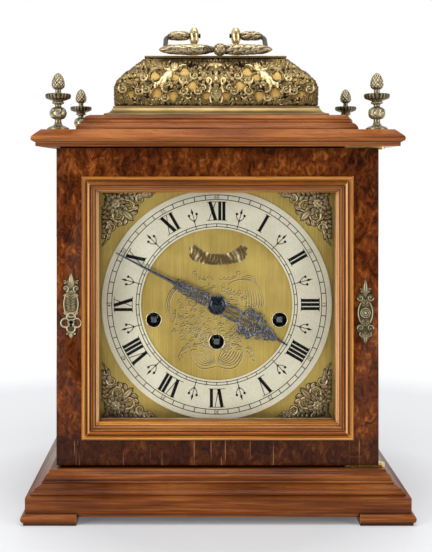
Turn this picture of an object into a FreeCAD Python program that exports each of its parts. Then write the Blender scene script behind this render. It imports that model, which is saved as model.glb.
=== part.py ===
import FreeCAD, Part
import math
import os

# A spring-driven bracket clock: moulded wooden case with a glazed front door, a pierced brass
# basket top with a folding handle, a square dial and a three-barrel movement behind it.
# Millimetres. +X right, +Y away from the viewer, +Z up, origin at the middle of the base.
# Depths written "behind" are measured back from the front face of the door.

# ---------------------------------------------------------------- case sizes
door_width = 252.0
door_height = 248.3
door_thick = 20.0
case_depth = 172.0
side_thick = 14.0
door_gap_below = 1.8
door_gap_above = 1.1
door_gap_behind = 0.5

# ---------------------------------------------------------------- feet and base
foot_height = 6.3
foot_length = 42.5
foot_nose = 3.2
foot_nose_height = 8.8
plinth_out = 21.0
plinth_height = 14.1
base_moulding_height = 16.8
base_board_thick = 15.0
base_rim = 29.0

# ---------------------------------------------------------------- cornice, caddy
cornice_height = 13.1
cornice_nose = 17.4
caddy_height = 13.0
caddy_inset = 13.4

# ---------------------------------------------------------------- door moulding and glass
sight_width = 186.8
sight_height = 180.2
sight_above_dial = 0.8
moulding_width = 12.7
moulding_proud = 3.2
moulding_rebate = 3.5
glass_setback = 11.0
glass_thick = 2.0
bead_width = 2.7
bead_depth = 6.0
glass_clearance = 0.3

# ---------------------------------------------------------------- brass basket top
basket_inset = 33.7
basket_base_height = 8.4
basket_base_slope = 8.3
basket_wall = 1.2
basket_dome_height = 42.8
lining_thick = 0.6
lining_clearance = 0.2
cap_thick = 1.6
cap_overhang = 1.7
dome_draw_in = 25.2
# Places of the piercings: out from the middle, above the foot of the dome, radius.
long_side_piercings = (
    (8.0, 8.5, 2.8), (19.9, 17.0, 3.6), (26.0, 29.0, 3.8), (33.6, 24.3, 2.9), (35.8, 8.5, 3.7),
    (48.9, 10.8, 3.9), (50.9, 25.4, 3.6), (66.0, 22.5, 1.6), (70.6, 10.2, 2.6),
)
end_piercings = ((7.5, 9.0, 3.2), (18.0, 17.5, 3.4), (7.0, 26.0, 2.8), (30.0, 9.5, 2.8))

# ---------------------------------------------------------------- handle
handle_span = 92.0
handle_bar_radius = 3.3
handle_knop_radius = 5.3
handle_post_spacing = 36.4
handle_pivot_height = 19.7
handle_pivot_radius = 2.0
handle_reach = 29.3
handle_bend_radius = 9.0
handle_droop_angle = 31.0
post_knob_radius = 4.2
post_knob_half_height = 7.4
bead_offset = 15.0

# ---------------------------------------------------------------- finials
finial_side_inset = 18.6
finial_height = 44.8
finial_radius = 10.15
finial_spigot_radius = 1.6
finial_spigot_length = 6.0

# ---------------------------------------------------------------- dial and hands
dial_height = 161.3
dial_setback = 26.5
dial_size = 200.0
dial_thick = 2.0
ring_radius = 93.0
ring_inner_radius = 61.3
ring_thick = 1.8
mask_opening = 191.0
mask_gap = 0.7
winding_hole_radius = 5.95
side_arbor_x = 51.0
side_arbor_drop = 12.7
going_arbor_drop = 30.5
spandrel_leg = 46.0
spandrel_thick = 2.2
spandrel_gap = 1.0
dial_centre_hole_radius = 6.0
dial_foot_radius = 3.0
dial_foot_x = 72.0
dial_foot_z = 61.0
minute_hand_length = 92.0
minute_hand_angle = 297.4
hour_hand_length = 66.0
hour_hand_angle = 119.8
minute_hand_thick = 1.1
hour_hand_thick = 1.2
hand_gap = 1.3
ring_to_hour_hand = 0.9
nut_radius = 7.25
nut_height = 2.8

# ---------------------------------------------------------------- movement
plate_width = 160.0
plate_height = 144.0
plate_thick = 3.0
plate_spacing = 46.0
front_plate_setback = 43.0
plate_centre_drop = 1.3
seat_thick = 12.0
pillar_radius = 4.0
pillar_inset = 8.0
arbor_radius = 3.0
winding_square = 4.4
barrel_radius = 21.5
barrel_length = 31.0
barrel_end_gap = 7.0
great_wheel_thick = 3.0
side_wheel_radius = 24.0
great_wheel_teeth = 72
centre_pinion_teeth = 10
cannon_teeth = 12
minute_wheel_teeth = 36
minute_pinion_teeth = 10
hour_wheel_teeth = 40
side_wheel_teeth = 64
motion_centre_distance = 30.0
wheel_thick = 3.0
centre_wheel_radius = 20.0
centre_arbor_radius = 1.5
cannon_radius = 3.0
hour_pipe_radius = 4.5
motion_gap = 2.0
stud_radius = 1.5
running_clearance = 0.05

# ---------------------------------------------------------------- pendulum, gongs, hammers
pendulum_length = 124.0
bob_radius = 17.0
bob_thick = 9.0
pendulum_rod_radius = 1.3
pendulum_post_radius = 1.5
pendulum_behind_plate = 8.0
pendulum_pivot_drop = 6.0
gong_count = 5
gong_pitch = 6.0
gong_radius = 1.5
gong_length = 190.0
gong_x = -45.0
gong_behind = 126.0
gong_block = 16.0
gong_step = 7.0
gong_collar = 1.0
gong_collar_height = 5.0
hammer_axis_ahead = 8.0
hammer_axis_height = 24.0
hammer_pin_radius = 1.0
hammer_length = 32.0
hammer_head_radius = 2.3
hammer_arm_width = 1.6
hammer_arm_thick = 1.8
hammer_arm_ahead = 4.2

# ---------------------------------------------------------------- rear door
rear_rail = 27.0
back_frame_thick = 10.0
rear_door_thick = 8.0
rear_door_gap = 0.6
rear_knuckle_radius = 2.4
rear_pin_radius = 1.0
rear_hinge_height = 30.0
rear_leaf_width = 9.0
rear_leaf_thick = 1.0
rear_hinge_inset = 30.0
button_length = 30.0
button_width = 8.0
button_thick = 3.0
button_pin_radius = 1.5
button_pin_depth = 6.0
button_head_radius = 3.0
button_head_height = 1.2
part_gap = 0.3
cut_beyond = 10.0

# ---------------------------------------------------------------- hinges and lock
leaf_thick = 1.4
leaf_gap = 0.3
leaf_length = 26.0
leaf_width = 9.0
leaf_nose_radius = 3.2
pivot_out = 2.6
pivot_behind = 5.0
pivot_radius = 1.5
key_axis_inset = 11.5
key_height = 150.3
lock_width = 15.0
lock_height = 22.0
lock_depth = 8.0
lock_hub_radius = 3.5
keyway_width = 1.8
cam_length = 10.0
cam_width = 4.0
cam_thick = 2.0
cam_room = 1.5
notch_room = 1.2
strike_thick = 1.0
strike_inset = 1.5
strike_below = 12.0
strike_above = 18.0
escutcheon_thick = 1.6
escutcheon_height = 51.6
escutcheon_below_key = 12.2
knob_plate_height = 51.2
knob_plate_centre = 159.7
knob_plate_inset = 10.6

# ---------------------------------------------------------------- worked-out levels
door_half = door_width / 2
plinth_half = door_half + plinth_out
overall_depth = plinth_out + foot_nose + case_depth + 2 * rear_knuckle_radius
door_y = plinth_out + foot_nose - overall_depth / 2
back_y = door_y + case_depth
middle_y = door_y + case_depth / 2

plinth_top_z = foot_height + plinth_height
base_top_z = plinth_top_z + base_moulding_height
door_low_z = base_top_z + door_gap_below
door_top_z = door_low_z + door_height
cornice_z = door_top_z + door_gap_above
caddy_z = cornice_z + cornice_height
basket_z = caddy_z + caddy_height
dome_z = basket_z + basket_base_height
cap_z = dome_z + basket_dome_height
cap_top_z = cap_z + cap_thick
handle_pivot_z = cap_top_z + handle_pivot_height

inner_half = door_half - side_thick
case_front = door_thick + door_gap_behind
mask_front = door_thick + mask_gap
sight_z = dial_height + sight_above_dial
frame_half_w = sight_width / 2 + moulding_rebate
frame_half_h = sight_height / 2 + moulding_rebate

ring_front = dial_setback - ring_thick
hour_hand_back = ring_front - ring_to_hour_hand
hour_hand_front = hour_hand_back - hour_hand_thick
minute_hand_back = hour_hand_front - hand_gap
minute_hand_front = minute_hand_back - minute_hand_thick
dial_back = dial_setback + dial_thick

plates_inside = front_plate_setback + plate_thick
back_plate_setback = plates_inside + plate_spacing
back_plate_rear = back_plate_setback + plate_thick
plate_low_z = dial_height - plate_height / 2 - plate_centre_drop
side_arbor_z = dial_height - side_arbor_drop
going_arbor_z = dial_height - going_arbor_drop

cannon_back = front_plate_setback - motion_gap
cannon_front = cannon_back - wheel_thick
hour_wheel_back = cannon_front - motion_gap
hour_wheel_front = hour_wheel_back - wheel_thick
barrel_front = plates_inside + barrel_end_gap
great_wheel_front = barrel_front + barrel_length
great_wheel_back = great_wheel_front + great_wheel_thick

hinge_x = door_half + pivot_out
basket_half = door_half - basket_inset
basket_half_depth = case_depth / 2 - basket_inset


def behind(depth):
    return door_y + depth


def vec(x, y, z):
    return FreeCAD.Vector(x, y, z)


def box(x0, x1, y0, y1, z0, z1):
    return Part.makeBox(x1 - x0, y1 - y0, z1 - z0, vec(x0, y0, z0))


def rod_x(x0, x1, y, z, radius):
    return Part.makeCylinder(radius, x1 - x0, vec(x0, y, z), vec(1, 0, 0))


def rod_y(x, z, radius, y0, y1):
    return Part.makeCylinder(radius, y1 - y0, vec(x, y0, z), vec(0, 1, 0))


def rod_z(x, y, z0, z1, radius):
    return Part.makeCylinder(radius, z1 - z0, vec(x, y, z0), vec(0, 0, 1))


def joined(shapes):
    whole = shapes[0]
    for shape in shapes[1:]:
        whole = whole.fuse(shape)
    return whole.removeSplitter()


def path_edges(path, place, smooth=False):
    # A path is a start point, then (a, b) for a straight run or (mid_a, mid_b, a, b) for an arc.
    edges = []
    here = path[0]
    for step in path[1:]:
        end = step[-2:]
        if len(step) == 2:
            curve = Part.LineSegment(place(*here), place(*end))
        else:
            curve = Part.Arc(place(*here), place(*step[:2]), place(*end))
            if smooth:
                curve = curve.toBSpline()
        edges.append(curve.toShape())
        here = end
    return edges


def fitted(path, height, width=None):
    # Stretches a drawn profile so that its last point reaches the height, and its widest the width.
    up = height / path[-1][-1]
    across = 1 if width is None else width / max(step[-2] for step in path)
    return [tuple(value * (up if index % 2 else across) for index, value in enumerate(step)) for step in path]


def closed_face(edges):
    return Part.Face(Part.Wire(Part.__sortEdges__(edges)))


def moulded_block(path, half_width, front_y, rear_y, z0, all_round=False):
    # A block whose edges follow the path of (projection, height); mitred at its corners.
    reach = half_width + max(abs(step[-2]) for step in path) + 50
    right = path_edges(path, lambda out, up: vec(half_width + out, 0, z0 + up))
    left = path_edges(path, lambda out, up: vec(-half_width - out, 0, z0 + up))
    low_out, low = path[0]
    top_out, top = path[-1][-2:]
    ends_x = [
        Part.LineSegment(vec(-half_width - low_out, 0, z0 + low), vec(half_width + low_out, 0, z0 + low)),
        Part.LineSegment(vec(-half_width - top_out, 0, z0 + top), vec(half_width + top_out, 0, z0 + top)),
    ]
    across = closed_face(right + left + [line.toShape() for line in ends_x])
    front = path_edges(path, lambda out, up: vec(0, front_y - out, z0 + up))
    rear_path = path if all_round else [(0, low), (0, top)]
    rear = path_edges(rear_path, lambda out, up: vec(0, rear_y + out, z0 + up))
    rear_low_out = rear_path[0][0]
    rear_top_out = rear_path[-1][-2]
    ends_y = [
        Part.LineSegment(vec(0, front_y - low_out, z0 + low), vec(0, rear_y + rear_low_out, z0 + low)),
        Part.LineSegment(vec(0, front_y - top_out, z0 + top), vec(0, rear_y + rear_top_out, z0 + top)),
    ]
    along = closed_face(front + rear + [line.toShape() for line in ends_y])
    depth = rear_y - front_y + 200
    across.translate(vec(0, front_y - 100, 0))
    along.translate(vec(-reach, 0, 0))
    return across.extrude(vec(0, depth, 0)).common(along.extrude(vec(2 * reach, 0, 0)))


def turned(path, x, y, z):
    # A turned piece: the path of (radius, height) spun about an upright axis.
    edges = path_edges(path, lambda r, up: vec(r, 0, up), smooth=True)
    low = path[0]
    top = path[-1][-2:]
    if low[0] > 0:
        edges.append(Part.LineSegment(vec(0, 0, low[1]), vec(low[0], 0, low[1])).toShape())
    if top[0] > 0:
        edges.append(Part.LineSegment(vec(0, 0, top[1]), vec(top[0], 0, top[1])).toShape())
    edges.append(Part.LineSegment(vec(0, 0, low[1]), vec(0, 0, top[1])).toShape())
    solid = closed_face(edges).revolve(vec(0, 0, 0), vec(0, 0, 1), 360)
    solid.translate(vec(x, y, z))
    return solid


def turned_y(path, x, z, y0):
    # The same, spun about an axis that runs back from the viewer; heights become depths.
    solid = turned(path, 0, 0, 0)
    solid.rotate(vec(0, 0, 0), vec(1, 0, 0), -90)
    solid.translate(vec(x, y0, z))
    return solid


def flat_ring(x, z, outer, inner, y0, y1):
    return rod_y(x, z, outer, y0, y1).cut(rod_y(x, z, inner, y0 - 1, y1 + 1))


def plate_xz(points, y0, y1):
    corners = [vec(x, y0, z) for x, z in points]
    return Part.Face(Part.makePolygon(corners + corners[:1])).extrude(vec(0, y1 - y0, 0))


def gear(teeth, pitch_radius, x, z, y0, y1, phase):
    # Straight-flanked teeth. phase is the angle of one tooth, clockwise from the top.
    module = 2 * pitch_radius / teeth
    tip = pitch_radius + 0.85 * module
    root = pitch_radius - 1.15 * module
    pitch = 2 * math.pi / teeth
    points = []
    for index in range(teeth):
        middle = math.radians(phase) + index * pitch
        for radius, shift in ((root, -0.26), (tip, -0.09), (tip, 0.09), (root, 0.26)):
            angle = middle + shift * pitch
            points.append((x + radius * math.sin(angle), z + radius * math.cos(angle)))
    return plate_xz(points, y0, y1)


# ---------------------------------------------------------------- base and feet
def base_path():
    # The upright plinth, then the members that step in above it to the door.
    members = [
        (21.0, 0), (19.4, 0.5), (17.4, 0.9), (17.4, 1.9, 16.4, 3.7), (15.2, 3.9, 14.6, 5.2),
        (12.4, 6.2), (9.9, 7.4), (9.9, 8.6, 8.4, 9.6), (7.6, 12.6, 5.4, 14.6),
        (4.9, 15.2), (4.9, 16.2), (4.2, 16.8),
    ]
    path = [(plinth_out, 0)]
    for step in fitted(members, base_moulding_height, plinth_out):
        path.append(tuple(value + (plinth_height if index % 2 else 0) for index, value in enumerate(step)))
    return path


def base_moulding():
    block = moulded_block(base_path(), door_half, door_y, back_y, foot_height)
    rim = plinth_half - base_rim
    front = door_y - plinth_out + base_rim
    rear = back_y - base_rim + plinth_out
    block = block.cut(box(-rim, rim, front, rear, 0, base_top_z + 1))
    return block.cut(leaf_blank(bottom_leaf_low(), base_top_z + 1))


def base_board():
    rim = plinth_half - base_rim
    front = door_y - plinth_out + base_rim
    rear = back_y - base_rim + plinth_out
    board = box(-rim, rim, front, rear, base_top_z - base_board_thick, base_top_z)
    return board.cut(leaf_blank(bottom_leaf_low(), base_top_z + 1))


def foot(side, front):
    path = [(1.2, 0), (1.2, 2.0), (foot_nose, 5.2, 0.3, foot_nose_height)]
    plinth_front = door_y - plinth_out
    ring = moulded_block(path, plinth_half, plinth_front, back_y, 0)
    outer_x = plinth_half + foot_nose
    outer_y = plinth_front - foot_nose
    y0 = outer_y if front else back_y - foot_length
    corner = box(-outer_x, foot_length - outer_x, y0, y0 + foot_length, 0, foot_nose_height)
    if side > 0:
        corner = box(outer_x - foot_length, outer_x, y0, y0 + foot_length, 0, foot_nose_height)
    plinth = box(-plinth_half, plinth_half, plinth_front, back_y, foot_height, foot_nose_height + 1)
    return ring.common(corner).cut(plinth)


# ---------------------------------------------------------------- case
def side_panel(side):
    x0, x1 = sorted((side * inner_half, side * door_half))
    panel = box(x0, x1, behind(case_front), back_y, base_top_z, cornice_z)
    if side < 0:
        panel = panel.cut(strike_mortise())
    return panel


def back_opening():
    half = inner_half - rear_rail
    return half, base_top_z + rear_rail, cornice_z - rear_rail


def button_place():
    half, low, high = back_opening()
    return -half - button_width, (low + high) / 2


def back_frame():
    half, low, high = back_opening()
    y0 = back_y - back_frame_thick
    frame = box(-inner_half, inner_half, y0, back_y, base_top_z, cornice_z)
    frame = frame.cut(box(-half, half, y0 - 1, back_y + 1, low, high))
    x, z = button_place()
    pin_hole = button_pin_radius + running_clearance
    return frame.cut(rod_y(x, z, pin_hole, back_y - button_pin_depth - part_gap, back_y + 1))


def cornice_path():
    nose = cornice_nose
    members = [
        (nose - 3.2, 0), (nose - 3.2, 2.8), (nose - 0.4, 4.4), (nose, 6.3, nose - 0.7, 7.9),
        (nose - 2.6, 9.6), (nose - 6.9, 13.1),
    ]
    return fitted(members, cornice_height)


def cornice_board():
    board = moulded_block(cornice_path(), door_half, door_y, back_y, cornice_z)
    for x, y in finial_places():
        hole = finial_spigot_radius + running_clearance
        board = board.cut(rod_z(x, y, caddy_z - finial_spigot_length - 0.5, caddy_z + 1, hole))
    return board.cut(leaf_blank(cornice_z - 1, top_leaf_low() + leaf_thick))


def caddy_board():
    path = [
        (0, 0), (0, 1.2), (-1.6, 4.8, -4.3, 6.5), (-4.3, 7.4),
        (-5.4, 8.0, -6.0, 8.8), (-6.4, 11.2, -9.2, 12.4), (-9.5, 13.0),
    ]
    path = fitted(path, caddy_height)
    front = door_y + caddy_inset
    rear = back_y - caddy_inset
    return moulded_block(path, door_half - caddy_inset, front, rear, caddy_z, all_round=True)


def dial_mask():
    half = mask_opening / 2
    y0 = behind(mask_front)
    y1 = behind(dial_setback)
    board = box(-inner_half, inner_half, y0, y1, base_top_z, cornice_z)
    board = board.cut(box(-half, half, y0 - 1, y1 + 1, dial_height - half, dial_height + half))
    return board.cut(strike_mortise())


def seat_board():
    y0 = behind(front_plate_setback - 9)
    y1 = behind(back_plate_rear + 2)
    return box(-inner_half, inner_half, y0, y1, plate_low_z - seat_thick, plate_low_z)


# ---------------------------------------------------------------- basket top
def dome_path(offset):
    # Half-section of the dome: upright skirt, swelling shoulder, then a straight slope.
    inward = basket_base_slope + offset
    path = [
        (-inward, 0), (-inward, 13.6), (-inward - 1.1, 19.0, -inward - 4.0, 23.0),
        (-inward - 7.0, 27.0, -inward - 11.3, 30.1), (-inward - 18.2, 36.6),
        (-inward - dome_draw_in, 42.8),
    ]
    return fitted(path, basket_dome_height)


def basket_block(path, z0):
    front = middle_y - basket_half_depth
    rear = middle_y + basket_half_depth
    return moulded_block(path, basket_half, front, rear, z0, all_round=True)


def basket_base():
    path = [
        (0, 0), (0, 1.6), (-1.2, 2.2), (-4.6, 3.4, -6.6, 6.0),
        (-basket_base_slope + 1.2, 6.8), (-basket_base_slope + 1.2, 8.4),
    ]
    block = basket_block(fitted(path, basket_base_height), basket_z)
    inward = basket_base_slope + basket_wall + lining_clearance + lining_thick
    half = basket_half - inward
    depth = basket_half_depth - inward
    return block.cut(box(-half, half, middle_y - depth, middle_y + depth, basket_z - 1, dome_z + 1))


def piercings():
    # Round holes, the same on both sides of the middle, through the long faces and the ends.
    holes = []
    reach = basket_half + cut_beyond
    y0 = middle_y - basket_half_depth - cut_beyond
    y1 = middle_y + basket_half_depth + cut_beyond
    for side in (-1, 1):
        for out, height, radius in long_side_piercings:
            holes.append(rod_y(side * out, dome_z + height, radius, y0, y1))
        for out, height, radius in end_piercings:
            holes.append(rod_x(-reach, reach, middle_y + side * out, dome_z + height, radius))
    return holes


def basket_shell():
    outer = basket_block(dome_path(0), dome_z)
    inner = basket_block(dome_path(basket_wall), dome_z)
    return outer.cut(inner).cut(piercings())


def basket_lining():
    gap = basket_wall + lining_clearance
    outer = basket_block(dome_path(gap), dome_z)
    inner = basket_block(dome_path(gap + lining_thick), dome_z)
    return outer.cut(inner)


def cap_half_sizes():
    inward = basket_base_slope + dome_draw_in - cap_overhang
    return basket_half - inward, basket_half_depth - inward


def basket_cap():
    half, depth = cap_half_sizes()
    cap = box(-half, half, middle_y - depth, middle_y + depth, cap_z, cap_top_z)
    outer_edges = [edge for edge in cap.Edges if edge.BoundBox.ZMin > cap_z + cap_thick / 2]
    return cap.makeFillet(cap_thick / 3, outer_edges)


def finial_places():
    x = door_half + cornice_nose - finial_side_inset
    front = door_y - cornice_nose + finial_side_inset
    rear = back_y - finial_side_inset
    return [(-x, front), (x, front), (-x, rear), (x, rear)]


def finial(x, y):
    spigot = rod_z(x, y, caddy_z - finial_spigot_length, caddy_z + 1, finial_spigot_radius)
    path = [
        (8.5, 0), (8.5, 1.2), (6.6, 2.3), (3.2, 4.0, 2.35, 8.0),
        (5.6, 9.4, 6.65, 13.3), (5.4, 16.4, 2.6, 17.9), (2.6, 19.6), (4.4, 20.6, 3.6, 22.2),
        (9.6, 24.2), (10.15, 28.3), (4.6, 26.6), (2.2, 28.6), (2.2, 31.4), (3.6, 32.2),
        (5.4, 35.8, 3.4, 41.0), (1.9, 43.4, 0, 44.8),
    ]
    path = fitted(path, finial_height, finial_radius)
    return joined([turned(path, x, y, caddy_z), spigot])


# ---------------------------------------------------------------- handle
def handle_posts():
    posts = []
    for side in (-1, 1):
        x = side * handle_post_spacing / 2
        low = handle_pivot_height - post_knob_half_height
        high = handle_pivot_height + post_knob_half_height
        path = [
            (5.2, 0), (5.2, 1.4), (3.0, 3.0), (2.4, 5.0), (2.4, low + 0.8),
            (post_knob_radius, handle_pivot_height, 0, high),
        ]
        post = turned(path, x, middle_y, cap_top_z)
        hole = handle_pivot_radius + running_clearance
        posts.append(post.cut(rod_x(x - 20, x + 20, middle_y, handle_pivot_z, hole)))
    return Part.makeCompound(posts)


def handle_spine():
    # Runs in the plane of the bail: out along one arm, round the grip bar and back along the other.
    half = handle_span / 2 - handle_bar_radius
    start = handle_post_spacing / 2 + post_knob_radius + part_gap
    bend = handle_bend_radius
    mid = bend * math.sin(math.radians(45))
    reach = handle_reach
    path = [
        (-start, 0), (bend - half, 0),
        (bend - half - mid, mid - bend, -half, -bend), (-half, bend - reach),
        (bend - half - mid, bend - reach - mid, bend - half, -reach), (half - bend, -reach),
        (half - bend + mid, bend - reach - mid, half, bend - reach), (half, -bend),
        (half - bend + mid, mid - bend, half - bend, 0), (start, 0),
    ]
    return Part.Wire(path_edges(path, lambda a, b: vec(a, b, 0))), start


def bar_bead(x, radius, half_length):
    # A swelling turned on the grip bar.
    root = handle_bar_radius - 0.5
    bead = turned([(root, -half_length), (radius, 0, root, half_length)], 0, 0, 0)
    bead.rotate(vec(0, 0, 0), vec(0, 1, 0), 90)
    bead.translate(vec(x, -handle_reach, 0))
    return bead


def carrying_handle():
    # A bail: a pivot pin through each post, an arm running outwards, a bend, and the grip bar.
    spine, start = handle_spine()
    ring = Part.Wire(Part.makeCircle(handle_bar_radius, vec(-start, 0, 0), vec(1, 0, 0)))
    handle = spine.makePipeShell([ring], True, True)
    inner = handle_post_spacing / 2 - post_knob_radius - 1.4
    for side in (-1, 1):
        x0, x1 = sorted((side * inner, side * (start + 1)))
        handle = handle.fuse(rod_x(x0, x1, 0, 0, handle_pivot_radius))
        handle = handle.fuse(bar_bead(side * bead_offset, handle_bar_radius + 0.9, 3.6))
    handle = handle.fuse(bar_bead(0, handle_knop_radius, 5.0))
    handle.rotate(vec(0, 0, 0), vec(1, 0, 0), handle_droop_angle)
    handle.translate(vec(0, middle_y, handle_pivot_z))
    return handle


# ---------------------------------------------------------------- front door
def door_frame():
    frame = box(-door_half, door_half, door_y, behind(door_thick), door_low_z, door_top_z)
    opening = box(
        -frame_half_w, frame_half_w, door_y - 1, behind(door_thick) + 1,
        sight_z - frame_half_h, sight_z + frame_half_h,
    )
    frame = frame.cut(opening)
    frame = frame.cut(lock_block())
    frame = frame.cut(rod_y(key_x(), key_height, 2.6, door_y - 1, behind(door_thick)))
    frame = frame.cut(leaf_blank(top_leaf_low() - leaf_gap - leaf_thick, door_top_z + 1))
    return frame.cut(leaf_blank(door_low_z - 1, bottom_leaf_low() + 2 * leaf_thick + leaf_gap))


def moulding_path():
    # u runs outwards from the sight edge, w runs forwards from the door face.
    face = [
        (0, -4.2), (0.3, -3.2, 1.3, -2.7), (1.6, -1.3), (2.8, -0.9), (3.0, 0.6), (5.3, 0.9),
        (5.6, 1.6), (6.0, 2.4), (7.2, 3.2, 8.4, 2.4), (8.6, 1.3), (8.9, 1.1), (9.6, 1.9, 11.2, 2.6),
        (11.4, 3.0), (12.2, 2.9, 12.7, 1.6),
    ]
    proud = moulding_proud / max(step[1] for step in face)
    across = moulding_width / face[-1][-2]
    path = [(0, -glass_setback)]
    for step in face:
        path.append(tuple(value * (proud if index % 2 else across) for index, value in enumerate(step)))
    rebate = moulding_rebate
    return path + [(moulding_width, 0), (rebate, 0), (rebate, -glass_setback), (0, -glass_setback)]


def mitred_length(section, corners, along):
    # One straight length of the section, cut at both ends to the outline of its corners.
    section.translate(along * -0.5)
    front = door_y - moulding_proud - 10
    return section.extrude(along).common(plate_xz(corners, front, behind(glass_setback) + 10))


def door_moulding():
    path = moulding_path()
    half_w = sight_width / 2
    half_h = sight_height / 2
    far = moulding_width + 1
    lengths = []
    for side in (-1, 1):
        level = closed_face(path_edges(path, lambda u, w: vec(0, door_y - w, side * (half_h + u))))
        corners = [
            (-half_w, side * half_h), (half_w, side * half_h),
            (half_w + far, side * (half_h + far)), (-half_w - far, side * (half_h + far)),
        ]
        lengths.append(mitred_length(level, corners, vec(2 * (half_w + far), 0, 0)))
        upright = closed_face(path_edges(path, lambda u, w: vec(side * (half_w + u), door_y - w, 0)))
        corners = [
            (side * half_w, -half_h), (side * half_w, half_h),
            (side * (half_w + far), half_h + far), (side * (half_w + far), -half_h - far),
        ]
        lengths.append(mitred_length(upright, corners, vec(0, 0, 2 * (half_h + far))))
    frame = joined(lengths)
    frame.translate(vec(0, 0, sight_z))
    return frame


def door_glass():
    half_w = frame_half_w - glass_clearance
    half_h = frame_half_h - glass_clearance
    y0 = behind(glass_setback)
    return box(-half_w, half_w, y0, y0 + glass_thick, sight_z - half_h, sight_z + half_h)


def glass_beads():
    outer_w = frame_half_w
    outer_h = frame_half_h
    inner_w = outer_w - bead_width
    inner_h = outer_h - bead_width
    y0 = behind(glass_setback + glass_thick)
    y1 = y0 + bead_depth
    frame = box(-outer_w, outer_w, y0, y1, sight_z - outer_h, sight_z + outer_h)
    return frame.cut(box(-inner_w, inner_w, y0 - 1, y1 + 1, sight_z - inner_h, sight_z + inner_h))


def oval(x, z, half_w, half_h, y0, y1):
    matrix = FreeCAD.Matrix()
    matrix.scale(half_w / 10.0, 1, half_h / 10.0)
    solid = rod_y(0, 0, 10.0, y0, y1).transformGeometry(matrix)
    solid.translate(vec(x, 0, z))
    return solid


def keyhole_escutcheon():
    x = key_x()
    y0 = door_y - escutcheon_thick
    low = key_height - escutcheon_below_key
    high = low + escutcheon_height
    pieces = [oval(x, low + 26.0, 6.5, 11.5, y0, door_y)]
    for dx, dz in ((-4.2, 0), (4.2, 0), (0, 4.4), (0, -3.8)):
        pieces.append(rod_y(x + dx, key_height + dz, 4.2, y0, door_y))
    for side in (-1, 1):
        pieces.append(rod_y(x + side * 5.0, high - 11.0, 2.9, y0, door_y))
        pieces.append(rod_y(x + side * 3.4, low + 3.0, 2.0, y0, door_y))
    pieces.append(plate_xz([(x - 5, high - 16), (x, high), (x + 5, high - 16)], y0, door_y))
    pieces.append(plate_xz([(x - 4, low + 5), (x + 4, low + 5), (x, low)], y0, door_y))
    plate = joined(pieces)
    keyhole = rod_y(x, key_height + 1.0, 2.1, y0 - 1, door_y + 1)
    half = keyway_width / 2
    slot = box(x - half, x + half, y0 - 1, door_y + 1, key_height - 3.6, key_height)
    return plate.cut(keyhole).cut(slot)


def knob_escutcheon():
    x = door_half - knob_plate_inset
    y0 = door_y - escutcheon_thick
    low = knob_plate_centre - knob_plate_height / 2
    high = low + knob_plate_height
    boss_z = knob_plate_centre - 1.2
    pieces = [oval(x, boss_z, 6.5, 10.5, y0, door_y)]
    pieces.append(turned_y([(2.5, 0), (2.5, 1.4)], x, boss_z, y0 - 1.2))
    for up in (-1, 1):
        for side in (-1, 1):
            pieces.append(rod_y(x + side * 4.2, boss_z + up * 11.0, 2.8, y0, door_y))
            pieces.append(rod_y(x + side * 2.6, boss_z + up * 17.5, 2.3, y0, door_y))
    for tip, foot_z in ((high, boss_z + 11), (low, boss_z - 11)):
        pieces.append(plate_xz([(x - 4.5, foot_z), (x, tip), (x + 4.5, foot_z)], y0, door_y))
    return joined(pieces)


# ---------------------------------------------------------------- lock
def key_x():
    return key_axis_inset - door_half


def lock_block():
    x = key_x()
    return box(
        x - lock_width / 2, x + lock_width / 2,
        behind(door_thick - lock_depth), behind(door_thick),
        key_height - lock_height / 2, key_height + lock_height / 2,
    )


def door_lock():
    front = behind(door_thick - lock_depth - 1)
    hub_hole = lock_hub_radius + running_clearance
    return lock_block().cut(rod_y(key_x(), key_height, hub_hole, front, behind(door_thick + 1)))


def lock_cam():
    # The hub turns in the lock; its cam stands upright when the door is unlocked.
    x = key_x()
    hub_front = behind(door_thick - lock_depth + 1)
    cam_front = behind(case_front + strike_thick + part_gap)
    hub = rod_y(x, key_height, lock_hub_radius, hub_front, cam_front)
    half = cam_width / 2
    cam = box(x - half, x + half, cam_front, cam_front + cam_thick, key_height, key_height + cam_length)
    disc = rod_y(x, key_height, lock_hub_radius, cam_front, cam_front + cam_thick)
    slot = keyway_width / 2
    key_slot = box(x - slot, x + slot, hub_front - 1, hub_front + 4, key_height - 2.2, key_height + 2.2)
    return joined([hub, disc, cam]).cut(key_slot)


def strike_mortise():
    x = key_x()
    y0 = behind(case_front)
    depth = strike_thick + 2 * part_gap + cam_thick + 2
    pocket = box(x - cam_length - cam_room, x + lock_hub_radius + cam_room, y0 - 1, y0 + depth,
                 key_height - lock_hub_radius - cam_room, key_height + cam_length + cam_room)
    seat = box(-door_half + strike_inset, -inner_half + 1, y0 - 1, y0 + strike_thick,
               key_height - strike_below, key_height + strike_above)
    return pocket.fuse(seat)


def lock_strike():
    # A plate let into the edge of the side, notched so that the upright cam passes.
    x = key_x()
    y0 = behind(case_front)
    plate = box(-door_half + strike_inset, -inner_half, y0, y0 + strike_thick,
                key_height - strike_below, key_height + strike_above)
    notch = box(x - lock_hub_radius - notch_room, 0, y0 - 1, y0 + strike_thick + 1,
                key_height - lock_hub_radius - cam_room, key_height + cam_length + cam_room)
    return plate.cut(notch)


# ---------------------------------------------------------------- front door hinges
def top_leaf_low():
    return (door_top_z + cornice_z) / 2 + leaf_gap / 2


def bottom_leaf_low():
    return (base_top_z + door_low_z) / 2 - leaf_gap / 2 - leaf_thick


def leaf_blank(z0, z1):
    y = behind(pivot_behind)
    nose = leaf_nose_radius
    blank = rod_z(hinge_x, y, z0, z1, nose)
    bar = box(door_half - leaf_length, hinge_x, y - nose, y + leaf_width - nose, z0, z1)
    return joined([blank, bar])


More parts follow.
